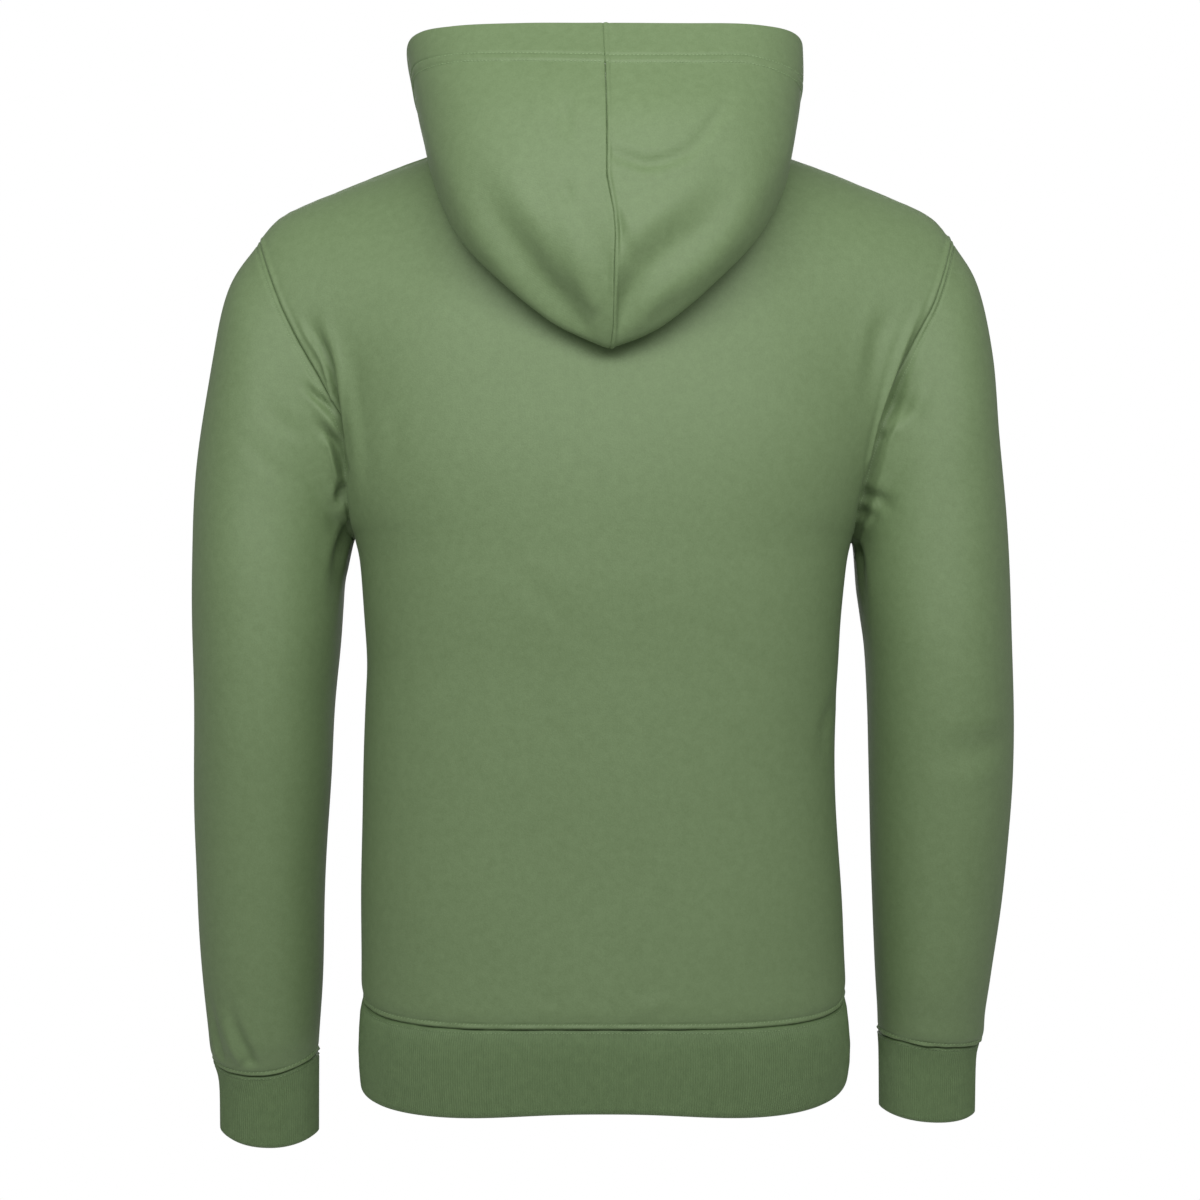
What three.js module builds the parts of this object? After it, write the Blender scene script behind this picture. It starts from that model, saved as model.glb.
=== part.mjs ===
// A pullover hoodie, filled out as it is worn but with no wearer in it: a back and a front panel,
// two sleeves, the two halves of a hood that lies down on the back, two rib cuffs and a rib hem band.
// Every piece is a wall of cloth. All the outer faces are first laid out as grids that share their
// points along the seams, so one normal serves both sides of a seam and the walls meet in a mitre.
// Millimetres, +Z up, the front towards +Y, the wearer's right towards +X. The origin is in the
// middle, 8 mm under the neck ends of the shoulder seams, where the wearer's shoulders hold it.
import * as THREE from "three";

// Driving dimensions.
const CLOTH = 2.2; // brushed sweatshirt cloth
const RIB_CLOTH = 3; // rib, folded double at the hem and cuffs
const SEAM_GAP = 0.3; // between two pieces that are sewn together
const MITRE_LIMIT = 0.35; // walls that meet at a sharp angle stay at most 1/0.35 times as deep
const FRONT_EDGE_GAP = 3; // between the two free front edges of the hood
const NECK_HALF_WIDTH = 88;
const NECK_TOP = 8; // the neck ends of the shoulder seams stand this far above the origin
const SHOULDER_SEAM_Y = 4; // the shoulder seam lies just in front of the middle
const BACK_NECK = { depth: 66, drop: 26 };
const FRONT_NECK = { depth: 76, drop: 96 };
const UNDERARM_Z = -278;
const HEM_SEAM = { left: -605, right: -603, low: -618, lift: 2, spread: 0.25 };
const HEM_EDGE = { left: -667, right: -660, low: -679, lift: 6, spread: 0.25 };
const SEAM_DIP = { depth: 2.2, reach: 7 }; // how far the cloth is drawn in at a rib seam
const ROUNDNESS = 2.45; // superellipse power of the body's cross-section
const RIBS = { hem: 300, cuff: 76, depth: 0.8 }; // ribs once round, raised over a plain inside
const CASING = { width: 26, extra: 1.8 }; // the turned-back hem of the hood, two layers thick

// The grid. Seams share points, so the counts are shared as well.
const NECK_COLUMNS = 7; // from the centre to the shoulder seam, on a half neckline
const NECK_SHARE = 0.42; // of the half panel's width that runs up to the neckline
const ARMHOLE_ROWS = 12;
const BODY_ROWS = [0, 0.012, 0.035, 0.11, 0.25, 0.42, 0.58, 0.74, 0.88, 1];
const BAND_ROWS = [0, 0.08, 0.3, 0.65, 1];
const CUFF_ROWS = [0, 0.5, 1, 1.5, 2];
const RIB_ROWS = { hem: [0.06, 0.5, 1], cuff: [0.25, 1, 2] }; // the ribs' own rows, down the band
const SLEEVE_STEPS = 16;

// Half widths and depths of the body at each height, under the arms.
const TORSO = [
  { z: -690, left: 172, right: 169, back: 98, front: 96 },
  { z: -650, left: 175.7, right: 176, back: 102, front: 99 },
  { z: -612, left: 174.5, right: 173.8, back: 103, front: 100 },
  { z: -554, left: 173.5, right: 171.5, back: 104, front: 102 },
  { z: -497, left: 172.7, right: 167.8, back: 105, front: 104 },
  { z: -439, left: 171.3, right: 165.3, back: 107, front: 106 },
  { z: -396, left: 170.4, right: 166.2, back: 110, front: 110 },
  { z: -367, left: 169.3, right: 167.8, back: 112, front: 112 },
  { z: -338, left: 170.6, right: 169.2, back: 115, front: 115 },
  { z: -309, left: 173, right: 172, back: 118, front: 119 },
  { z: -292, left: 175.4, right: 174.4, back: 119, front: 120.5 },
  { z: -278, left: 179.3, right: 178, back: 120, front: 122 },
];

// Sections of each sleeve from the armhole to the cuff seam: its outer and inner points as seen
// from behind, and its middle and half depth from front to back.
const SLEEVE = {
  left: [
    { outX: 247.5, outZ: -65.5, inX: 179.3, inZ: -278, midY: 4, half: 62, sag: 0 },
    { outX: 268.5, outZ: -98, inX: 182, inZ: -288, midY: 4, half: 66, sag: 0 },
    { outX: 281, outZ: -149, inX: 184.5, inZ: -300, midY: 3, half: 69, sag: 0 },
    { outX: 289.5, outZ: -205, inX: 187, inZ: -312, midY: 2, half: 71, sag: 0 },
    { outX: 294, outZ: -266, inX: 188.5, inZ: -330, midY: 1, half: 73, sag: 0 },
    { outX: 294.2, outZ: -338, inX: 190.5, inZ: -356, midY: 0, half: 73, sag: 0 },
    { outX: 294.5, outZ: -396, inX: 194.4, inZ: -399, midY: 1, half: 70, sag: 0 },
    { outX: 294, outZ: -450, inX: 197, inZ: -450, midY: 4, half: 66, sag: 0 },
    { outX: 294, outZ: -500, inX: 200, inZ: -500, midY: 8, half: 61, sag: 0 },
    { outX: 293, outZ: -550, inX: 203, inZ: -550, midY: 13, half: 56, sag: 0 },
    { outX: 290.5, outZ: -600, inX: 205, inZ: -600, midY: 18, half: 51, sag: 2 },
    { outX: 288.5, outZ: -632, inX: 207, inZ: -632, midY: 22, half: 47, sag: 5 },
    { outX: 287.5, outZ: -649, inX: 208, inZ: -646, midY: 25, half: 43, sag: 8 },
    { outX: 285, outZ: -657, inX: 208.5, inZ: -654, midY: 26, half: 39, sag: 9 },
  ],
  right: [
    { outX: 249.5, outZ: -64.5, inX: 178, inZ: -278, midY: 4, half: 62, sag: 0 },
    { outX: 268.5, outZ: -96, inX: 180, inZ: -288, midY: 4, half: 66, sag: 0 },
    { outX: 279.2, outZ: -147, inX: 181, inZ: -302, midY: 3, half: 69, sag: 0 },
    { outX: 283.5, outZ: -205, inX: 182, inZ: -317, midY: 2, half: 71, sag: 0 },
    { outX: 288, outZ: -266, inX: 184.5, inZ: -336, midY: 1, half: 73, sag: 0 },
    { outX: 291.5, outZ: -338, inX: 187.5, inZ: -360, midY: 0, half: 73, sag: 0 },
    { outX: 293.7, outZ: -396, inX: 189.5, inZ: -399, midY: 1, half: 70, sag: 0 },
    { outX: 293.2, outZ: -445, inX: 191, inZ: -445, midY: 4, half: 66, sag: 0 },
    { outX: 290.5, outZ: -495, inX: 193, inZ: -495, midY: 8, half: 61, sag: 0 },
    { outX: 287, outZ: -545, inX: 195.5, inZ: -545, midY: 13, half: 56, sag: 0 },
    { outX: 280.5, outZ: -595, inX: 197.5, inZ: -595, midY: 18, half: 50, sag: 0 },
    { outX: 276.8, outZ: -622, inX: 199, inZ: -620, midY: 22, half: 45, sag: 1 },
    { outX: 275.8, outZ: -637, inX: 199.5, inZ: -632, midY: 24, half: 42, sag: 2 },
    { outX: 273.5, outZ: -644.5, inX: 200, inZ: -638.5, midY: 25, half: 38, sag: 2 },
  ],
};
const SLEEVE_ROUNDNESS = 2.15;

// How far the back armhole seam bends towards the middle of the back. up is 0 at the underarm.
const ARMHOLE_BOW = [
  { up: 0, left: 0, right: 0 },
  { up: 0.083, left: 1, right: 3 },
  { up: 0.167, left: 4, right: 5.4 },
  { up: 0.25, left: 9, right: 6.7 },
  { up: 0.333, left: 15, right: 8.7 },
  { up: 0.417, left: 20, right: 9.8 },
  { up: 0.5, left: 15.5, right: 8.8 },
  { up: 0.583, left: 8.5, right: 5.3 },
  { up: 0.667, left: 4, right: 1 },
  { up: 0.833, left: 1, right: 0 },
  { up: 1, left: 0, right: 0 },
];

// Where the columns of each panel are led over the shoulder blades and the chest, from the middle
// at 0 to the armhole at 1.
const YOKE = [
  { at: 0, backY: 108, backZ: -74, frontY: 120, frontZ: -138 },
  { at: 0.21, backY: 106, backZ: -62, frontY: 116, frontZ: -108 },
  { at: 0.42, backY: 99, backZ: -38, frontY: 106, frontZ: -56 },
  { at: 0.7, backY: 88, backZ: -44, frontY: 90, frontZ: -46 },
  { at: 1, backY: 75, backZ: -78, frontY: 83, frontZ: -78 },
];

// Where the cloth falls in beside each armhole: how far across the panel (1 is the armhole), how
// wide, between which heights of the armhole, and how deep.
const ARMHOLE_FOLDS = [
  { face: "back", side: "left", at: 0.915, wide: 0.05, low: 0.25, high: 0.75, depth: 6 },
  { face: "back", side: "right", at: 0.86, wide: 0.07, low: 0.3, high: 0.8, depth: 5 },
  { face: "front", side: "left", at: 0.9, wide: 0.06, low: 0.2, high: 0.7, depth: 5 },
  { face: "front", side: "right", at: 0.9, wide: 0.06, low: 0.25, high: 0.75, depth: 6 },
];

// How far the shoulder seam stands above a straight line from the neck to the armhole. The
// shares are also the places of the grid's columns between those two.
const SHOULDER_LIFT = [
  { share: 0, lift: 0 },
  { share: 0.18, lift: 4.8 },
  { share: 0.36, lift: 7.8 },
  { share: 0.54, lift: 9.3 },
  { share: 0.7, lift: 10.3 },
  { share: 0.84, lift: 11 },
  { share: 0.93, lift: 8.5 },
  { share: 1, lift: 0 },
];

// The narrow part of each cuff just under its seam, and its lower edge, as a sleeve's sections.
const CUFF = {
  left: [
    { outX: 280.5, outZ: -674, inX: 208.7, inZ: -670, midY: 27, half: 36, sag: 9 },
    { outX: 280, outZ: -708, inX: 209, inZ: -711.5, midY: 29, half: 33, sag: 7 },
  ],
  right: [
    { outX: 271, outZ: -658, inX: 201, inZ: -653, midY: 26, half: 35, sag: 3 },
    { outX: 270.5, outZ: -696, inX: 201.5, inZ: -693, midY: 28, half: 32, sag: 4 },
  ],
};

// Sections of half the hood, from the centre seam at 0 to the front edge at 1. Each starts from
// the neck seam, stands up by `rise`, runs over and down the back to `lap`, round the rolled
// bottom `fold`, and up the outside past `swell` and `brow` to the `rim` of the face opening.
// Points are [x, y, z].
const HOOD = [
  { at: 0, rise: 15, lap: [0, -98, -58], fold: [0, -127, -156], roll: 9,
    swell: [0, -152, -98], brow: [0, -138, -4], rim: [0, -95, 69] },
  { at: 0.16, rise: 15, lap: [36, -94, -52], fold: [35.5, -125, -140], roll: 9,
    swell: [41, -148, -88], brow: [51, -132, 0], rim: [56, -91, 70] },
  { at: 0.3, rise: 15, lap: [68, -82, -34], fold: [72, -119, -110], roll: 9,
    swell: [87, -133, -64], brow: [99, -112, 8], rim: [106, -75, 71.5] },
  { at: 0.42, rise: 15, lap: [93, -56, -6], fold: [102, -97, -77], roll: 8,
    swell: [117, -101, -32], brow: [127, -78, 20], rim: [134, -47, 71] },
  { at: 0.52, rise: 15, lap: [105, -18, 12], fold: [119, -56, -41], roll: 7,
    swell: [128, -56, -10], brow: [134.5, -38, 20], rim: [140, -13, 61] },
  { at: 0.63, rise: 14, lap: [102, 22, 10], fold: [122, -2, 3], roll: 5,
    swell: [128.5, 0, 12], brow: [131, 10, 20], rim: [132, 26, 36] },
  { at: 0.76, rise: 12, lap: [80, 58, -18], fold: [92, 55, -16], roll: 4,
    swell: [99, 57, -9], brow: [101, 60, -2], rim: [100, 65, 6] },
  { at: 0.88, rise: 10, lap: [44, 79, -52], fold: [51, 80, -46], roll: 2,
    swell: [55, 82, -41], brow: [58, 84, -35], rim: [58, 87, -26] },
  { at: 1, rise: 8, lap: [0, 84, -75], fold: [0, 86, -71], roll: 1,
    swell: [0, 88, -66], brow: [0, 90, -60], rim: [0, 93, -52] },
];
const STAND_OUT = 2; // the hood leans out this far as it rises from the neck seam
const HOOD_CLEAR = 2; // between the hood and the back that it lies on
// Rows of the grid between each two named points of a section, and how far each named point
// shares in the hood's small lean to the wearer's right.
const HOOD_SPANS = [2, 2, 3, 2, 2, 3, 3, 4];
const HOOD_LEAN = 4.5;
const LEAN_SHARE = { lap: 0.3, fold: 0.85, swell: 0.9, brow: 0.75, rim: 0.15 };

const GREEN = 0x7d9470;
const material = (roughness) =>
  new THREE.MeshStandardMaterial({ color: GREEN, roughness, metalness: 0 });

const lerp = THREE.MathUtils.lerp;
const vec = (x, y, z) => new THREE.Vector3(x, y, z);
const power = (value, exponent) => Math.sign(value) * Math.abs(value) ** exponent;

// The value of a table's column at a place between its rows, on a smooth curve through them.
function along(table, key, at, name) {
  const last = table.length - 1;
  const rising = table[last][key] > table[0][key];
  let i = 0;
  while (i < last - 1 && table[i + 1][key] > at !== rising) i += 1;
  const value = (k) => table[THREE.MathUtils.clamp(k, 0, last)][name];
  const place = (k) => table[THREE.MathUtils.clamp(k, 0, last)][key];
  const span = place(i + 1) - place(i);
  const slope = (k) => (value(k + 1) - value(k - 1)) / (place(k + 1) - place(k - 1));
  const t = THREE.MathUtils.clamp((at - place(i)) / span, 0, 1);
  const t2 = t * t;
  const t3 = t2 * t;
  return (
    value(i) * (2 * t3 - 3 * t2 + 1) +
    slope(i) * span * (t3 - 2 * t2 + t) +
    value(i + 1) * (3 * t2 - 2 * t3) +
    slope(i + 1) * span * (t3 - t2)
  );
}

// A point of the body under the arms, at height z. across runs from -1 at the left side seam to 1.
function torsoPoint(z, across, face, drawnIn = 0) {
  const angle = (across * Math.PI) / 2;
  const width = along(TORSO, "z", z, across < 0 ? "left" : "right") - drawnIn;
  const depth = along(TORSO, "z", z, face) - drawnIn;
  const x = width * power(Math.sin(angle), 2 / ROUNDNESS);
  const y = depth * power(Math.cos(angle), 2 / ROUNDNESS);
  return vec(x, face === "back" ? -y : y, z);
}

// How far the cloth is drawn in, at a distance from a rib seam.
const dip = (distance) => SEAM_DIP.depth * Math.exp(-((distance / SEAM_DIP.reach) ** 2));
const levelOf = ({ left, right, low, lift, spread }, across) =>
  lerp(low, across < 0 ? left : right, across ** 4) + lift * Math.exp(-((across / spread) ** 2));
const hemSeamZ = (across) => levelOf(HEM_SEAM, across);
const hemEdgeZ = (across) => levelOf(HEM_EDGE, across);

// A point on the closed section of a sleeve or cuff. turn is 0 at the outer side, negative
// towards the back and positive towards the front, and pi at the inner side.
function sectionPoint(row, side, turn) {
  const sign = side === "left" ? -1 : 1;
  const cos = power(Math.cos(turn), 2 / SLEEVE_ROUNDNESS);
  const sin = power(Math.sin(turn), 2 / SLEEVE_ROUNDNESS);
  const x = (row.outX + row.inX) / 2 + ((row.outX - row.inX) / 2) * cos;
  const z = (row.outZ + row.inZ) / 2 + ((row.outZ - row.inZ) / 2) * cos - row.sag * sin * sin;
  return vec(sign * x, row.midY + row.half * sin, z);
}

// A point of the armhole seam. up runs from 0 at the underarm to 1 at the shoulder seam.
function armholePoint(side, face, up) {
  const turn = Math.PI * (1 - up) * (face === "back" ? -1 : 1);
  const row = { ...SLEEVE[side][0], midY: lerp(0, SHOULDER_SEAM_Y, up) };
  const point = sectionPoint(row, side, turn);
  const sign = side === "left" ? -1 : 1;
  if (face === "back") point.x -= sign * along(ARMHOLE_BOW, "up", up, side);
  return point;
}

// Half of the neckline seam. around runs from 0 at the centre to 1 at the shoulder seam.
function neckPoint(face, around) {
  const neck = face === "back" ? BACK_NECK : FRONT_NECK;
  const angle = (around * Math.PI) / 2;
  const y = neck.depth * power(Math.cos(angle), face === "back" ? 0.85 : 0.9);
  return vec(
    NECK_HALF_WIDTH * Math.sin(angle),
    SHOULDER_SEAM_Y + (face === "back" ? -y : y),
    NECK_TOP - neck.drop * Math.cos(angle) ** 1.3,
  );
}

// A point on the top edge of a panel, which is the shoulder seams with the neckline between them.
function topPoint(face, across) {
  const side = across < 0 ? "left" : "right";
  const sign = Math.sign(across);
  const away = Math.abs(across);
  if (away <= NECK_SHARE) {
    const point = neckPoint(face, away / NECK_SHARE);
    point.x *= sign;
    return point;
  }
  const t = (away - NECK_SHARE) / (1 - NECK_SHARE);
  const neck = neckPoint(face, 1);
  const tip = sectionPoint(SLEEVE[side][0], side, 0);
  const crown = along(SHOULDER_LIFT, "share", t, "lift");
  return vec(lerp(neck.x * sign, tip.x, t), lerp(neck.y, tip.y, t), lerp(neck.z, tip.z, t) + crown);
}

// A column of a panel above the underarm: it bends from the body's side up and over to the top.
function yokeColumn(face, across) {
  const away = Math.abs(across);
  const base = torsoPoint(UNDERARM_Z, across, face);
  const rise = base.clone().sub(torsoPoint(UNDERARM_Z - 10, across, face)).normalize();
  const top = topPoint(face, across);
  const y = along(YOKE, "at", away, `${face}Y`);
  const follow = 0.7 * THREE.MathUtils.smoothstep(away, 0.35, 1);
  const lead = vec(lerp(base.x, top.x, follow), 0, along(YOKE, "at", away, `${face}Z`));
  lead.y = face === "back" ? -y : y;
  return new THREE.CubicBezierCurve3(base, base.clone().addScaledVector(rise, 85), lead, top);
}

// A point of a panel above the underarm. The columns are drawn to the armhole, more so near it.
function yokePoint(face, across, up) {
  const point = yokeColumn(face, across).getPoint(up);
  if (across === 0) return point;
  const end = Math.sign(across);
  const pull = armholePoint(end < 0 ? "left" : "right", face, up)
    .sub(yokeColumn(face, end).getPoint(up));
  point.addScaledVector(pull, Math.abs(across) ** 3.2);
  point.y += (face === "back" ? 1 : -1) * foldDepth(face, across, up);
  return point;
}

// How far the cloth has fallen in at a place of a panel, which is nothing on the armhole itself.
function foldDepth(face, across, up) {
  const side = across < 0 ? "left" : "right";
  let depth = 0;
  for (const fold of ARMHOLE_FOLDS) {
    if (fold.face !== face || fold.side !== side) continue;
    if (up <= fold.low || up >= fold.high || Math.abs(across) === 1) continue;
    const share = Math.sin((Math.PI * (up - fold.low)) / (fold.high - fold.low)) ** 2;
    depth += fold.depth * share * Math.exp(-(((Math.abs(across) - fold.at) / fold.wide) ** 2));
  }
  return depth;
}

// Where the panel's columns stand, from the left side seam to the right one.
function panelColumns() {
  const half = [];
  for (let i = 0; i <= NECK_COLUMNS; i += 1) half.push((NECK_SHARE * i) / NECK_COLUMNS);
  for (const { share } of SHOULDER_LIFT.slice(1)) half.push(lerp(NECK_SHARE, 1, share));
  const left = half.slice(1).map((away) => -away);
  return [...left.reverse(), ...half];
}

function panelGrid(face) {
  const columns = panelColumns();
  const grid = BODY_ROWS.map((share) =>
    columns.map((across) => {
      const seam = hemSeamZ(across);
      const z = lerp(seam, UNDERARM_Z, share);
      return torsoPoint(z, across, face, dip(z - seam));
    }),
  );
  for (let row = 1; row <= ARMHOLE_ROWS; row += 1)
    grid.push(columns.map((across) => yokePoint(face, across, row / ARMHOLE_ROWS)));
  return grid;
}

// A point of the hem band, down by a share of its height. round goes from 0 at the left side over
// the back to 2 at the right side, and over the front to 4.
function bandPoint(round, share) {
  const across = round < 2 ? round - 1 : 3 - round;
  const seam = hemSeamZ(across);
  const z = lerp(seam, hemEdgeZ(across), share);
  return torsoPoint(z, across, round < 2 ? "back" : "front", dip(seam - z));
}

function bandRounds() {
  const back = panelColumns().map((across) => across + 1);
  return [...back, ...back.slice(1, -1).map((round) => round + 2)];
}

const bandGrid = () =>
  BAND_ROWS.map((share) => bandRounds().map((round) => bandPoint(round, share)));

// Even places once round a closed line, as the values of its own parameter from 0 to end.
function evenly(count, end, pointAt) {
  const steps = 2400;
  const lengths = [0];
  for (let i = 1; i <= steps; i += 1) {
    const length = pointAt((end * i) / steps).distanceTo(pointAt((end * (i - 1)) / steps));
    lengths.push(lengths[i - 1] + length);
  }
  const places = [];
  for (let k = 0, i = 0; k < count; k += 1) {
    const target = (lengths[steps] * k) / count;
    while (lengths[i + 1] <= target) i += 1;
    const share = (target - lengths[i]) / (lengths[i + 1] - lengths[i]);
    places.push((end * (i + share)) / steps);
  }
  return places;
}

// Rows of points round a band that stand on the ribs and in the grooves by turns.
function ribRows(places, shares, pointAt) {
  const count = places.length;
  return shares.map((share) => {
    const ring = places.map((place) => pointAt(place, share));
    const middle = ring[0].clone().lerp(ring[count / 2], 0.5);
    return ring.map((point, i) => {
      if (i % 2 === 0) return point;
      const course = ring[(i + 1) % count].clone().sub(ring[i - 1]);
      const inward = vec(-course.y, course.x, 0).normalize();
      if (middle.clone().sub(point).dot(inward) < 0) inward.negate();
      return point.clone().addScaledVector(inward, RIBS.depth);
    });
  });
}

// The turns of a sleeve's points, from the outer side round the back to the inner side and on.
const sleeveTurns = () =>
  Array.from({ length: 2 * ARMHOLE_ROWS }, (_, i) => (-Math.PI * i) / ARMHOLE_ROWS);

function sleeveRow(side, at) {
  const table = SLEEVE[side].map((row, place) => ({ ...row, place }));
  const row = {};
  for (const name of ["outX", "outZ", "inX", "inZ", "midY", "half", "sag"])
    row[name] = along(table, "place", at, name);
  return row;
}

function sleeveGrid(side) {
  const last = SLEEVE[side].length - 1;
  const grid = [];
  for (let step = 0; step <= SLEEVE_STEPS; step += 1) {
    const row = sleeveRow(side, (last * step) / SLEEVE_STEPS);
    grid.push(sleeveTurns().map((turn) => sectionPoint(row, side, turn)));
  }
  grid[0] = sleeveTurns().map((turn) => {
    const up = 1 - Math.abs(turn) / Math.PI;
    return up >= 0 ? armholePoint(side, "back", up) : armholePoint(side, "front", -up);
  });
  return grid;
}

// A point of a cuff. down is 0 at its seam, 1 at its narrow part and 2 at its lower edge.
function cuffPoint(side, turn, down) {
  const [narrow, edge] = CUFF[side];
  const rows = [SLEEVE[side][SLEEVE[side].length - 1], narrow, edge];
  const from = down < 1 ? 0 : 1;
  const top = sectionPoint(rows[from], side, turn);
  return top.lerp(sectionPoint(rows[from + 1], side, turn), down - from);
}

const cuffGrid = (side) =>
  CUFF_ROWS.map((down) => sleeveTurns().map((turn) => cuffPoint(side, turn, down)));

// The named points of the hood's section at a place between its table's rows.
function hoodSection(side, at) {
  const sign = side === "left" ? -1 : 1;
  const named = (name) => {
    const xyz = HOOD.map((row) => ({
      at: row.at,
      x: row[name][0],
      y: row[name][1],
      z: row[name][2],
    }));
    const lean = HOOD_LEAN * LEAN_SHARE[name] * (1 - at ** 2);
    return vec(
      sign * along(xyz, "at", at, "x") + lean,
      along(xyz, "at", at, "y"),
      along(xyz, "at", at, "z"),
    );
  };
  const neck = at < 0.5 ? neckPoint("back", 2 * at) : neckPoint("front", 2 - 2 * at);
  neck.x *= sign;
  const stand = neck.clone().setZ(0).normalize().multiplyScalar(STAND_OUT).add(neck);
  stand.z += along(HOOD, "at", at, "rise");
  const fold = named("fold");
  const lap = named("lap");
  const swell = named("swell");
  const roll = along(HOOD, "at", at, "roll");
  const outward = vec(swell.x - lap.x, swell.y - lap.y, 0).normalize();
  // Towards the front the rolled bottom opens out into a slope.
  const curl = 1 - 2 * THREE.MathUtils.smoothstep(at, 0.7, 0.95);
  return [
    neck,
    stand,
    lap,
    fold.clone().addScaledVector(outward, -roll).add(vec(0, 0, roll * curl)),
    fold,
    fold.clone().addScaledVector(outward, roll).add(vec(0, 0, roll)),
    swell,
    named("brow"),
    named("rim"),
  ];
}

// The faces of the two panels' upper parts, which the hood has to stay clear of.
function bodyFaces() {
  const faces = [];
  for (const face of ["back", "front"]) {
    const grid = panelGrid(face).slice(BODY_ROWS.length - 2);
    for (let r = 0; r < grid.length - 1; r += 1)
      for (let c = 0; c < grid[0].length - 1; c += 1) {
        const [a, b, d, e] = [grid[r][c], grid[r][c + 1], grid[r + 1][c + 1], grid[r + 1][c]];
        const pair = [new THREE.Triangle(a, b, d), new THREE.Triangle(a, d, e)];
        faces.push(...pair.map((flat) => ({ flat, out: face === "back" ? 1 : -1 })));
      }
  }
  return faces;
}

// Moves a point out until it is clear of the panels.
function clearOfBody(point, faces) {
  const nearest = { distance: Infinity };
  const foot = vec(0, 0, 0);
  const normal = vec(0, 0, 0);
  for (const { flat, out } of faces) {
    flat.closestPointToPoint(point, foot);
    const distance = foot.distanceTo(point);
    if (distance >= nearest.distance) continue;
    flat.getNormal(normal).multiplyScalar(out);
    Object.assign(nearest, { distance, foot: foot.clone(), normal: normal.clone() });
  }
  const height = point.clone().sub(nearest.foot).dot(nearest.normal);
  // A point that is beside the nearest face rather than over or under it is past the neckline.
  if (height >= HOOD_CLEAR || Math.abs(height) < 0.8 * nearest.distance) return point;
  return point.addScaledVector(nearest.normal, HOOD_CLEAR - height);
}

const shoulders = bodyFaces();

function hoodGrid(side) {
  const grid = [];
  for (let i = 0; i <= 2 * NECK_COLUMNS; i += 1) {
    const points = hoodSection(side, i / (2 * NECK_COLUMNS));
    const curve = new THREE.CatmullRomCurve3(points, false, "centripetal");
    const column = [curve.getPoint(0)];
    HOOD_SPANS.forEach((steps, span) => {
      for (let step = 1; step <= steps; step += 1)
        column.push(curve.getPoint((span + step / steps) / HOOD_SPANS.length));
    });
    grid.push(column.map((point, row) => (row ? clearOfBody(point, shoulders) : point)));
  }
  return grid;
}

// The rims on the two sides of a seam choose their diagonals by this direction, so they match.
const SPLIT = vec(0.31, 0.47, 0.83);

// The ribs of the hem band and of a cuff, and where the plain grid's columns stand among them.
const hemPlaces = evenly(2 * RIBS.hem, 4, (round) => bandPoint(round, 0.5));
const hemRibs = { plain: bandRounds(), places: hemPlaces,
  rows: ribRows(hemPlaces, RIB_ROWS.hem, bandPoint) };
function cuffRibs(side) {
  const pointAt = (turned, down) => cuffPoint(side, -turned, down);
  const places = evenly(2 * RIBS.cuff, 2 * Math.PI, (turned) => pointAt(turned, 1));
  const rows = ribRows(places, RIB_ROWS.cuff, pointAt);
  return { plain: sleeveTurns().map((turn) => -turn), places, rows };
}

// Every piece as a grid of outer points. wrap joins the last column of a tube to its first.
// flip turns the faces round where the grid runs the other way. gap is the seam's share that is
// left open at the grid's first row, last row, first column and last column.
const sewn = SEAM_GAP / 2;
const free = FRONT_EDGE_GAP / 2;
const pieces = [
  { name: "back_panel", shell: "body", grid: panelGrid("back"), wrap: false, flip: false,
    gap: [sewn, sewn, sewn, sewn], wall: CLOTH, roughness: 0.92 },
  { name: "front_panel", shell: "body", grid: panelGrid("front"), wrap: false, flip: true,
    gap: [sewn, sewn, sewn, sewn], wall: CLOTH, roughness: 0.92 },
  { name: "hem_band", shell: "band", grid: bandGrid(), wrap: true, flip: true,
    gap: [sewn, 0, 0, 0], wall: RIB_CLOTH, roughness: 0.95, ribs: hemRibs },
];
for (const side of ["left", "right"]) {
  const flip = side === "left";
  pieces.push(
    { name: `sleeve_${side}`, shell: "sleeve", grid: sleeveGrid(side), wrap: true, flip,
      gap: [sewn, sewn, 0, 0], wall: CLOTH, roughness: 0.92 },
    { name: `cuff_${side}`, shell: "cuff", grid: cuffGrid(side), wrap: true, flip,
      gap: [sewn, 0, 0, 0], wall: RIB_CLOTH, roughness: 0.95, ribs: cuffRibs(side) },
    { name: `hood_${side}`, shell: "hood", grid: hoodGrid(side), wrap: false, flip: !flip,
      gap: [sewn, free, sewn, 0], wall: CLOTH, roughness: 0.92, casing: true },
  );
}

// How little a four-cornered face bends when it is split from its first corner to its third.
function flatness([a, b, c, d]) {
  const one = new THREE.Triangle(a, b, c).getNormal(vec(0, 0, 0));
  return one.dot(new THREE.Triangle(a, c, d).getNormal(vec(0, 0, 0)));
}

// Calls back with the corners of every face of a grid, as [row, column] pairs in facing order,
// the first and third being the ends of the diagonal that bends it less.
function eachFace({ grid, wrap, flip }, visit) {
  const columns = grid[0].length;
  const lastColumn = wrap ? columns : columns - 1;
  for (let r = 0; r < grid.length - 1; r += 1)
    for (let c = 0; c < lastColumn; c += 1) {
      const next = (c + 1) % columns;
      const corners = [[r, c], [r, next], [r + 1, next], [r + 1, c]];
      if (flip) corners.reverse();
      const [p, q, s, t] = corners.map(([row, column]) => grid[row][column]);
      if (flatness([q, s, t, p]) > flatness([p, q, s, t])) corners.push(corners.shift());
      visit(corners);
    }
}

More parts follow.
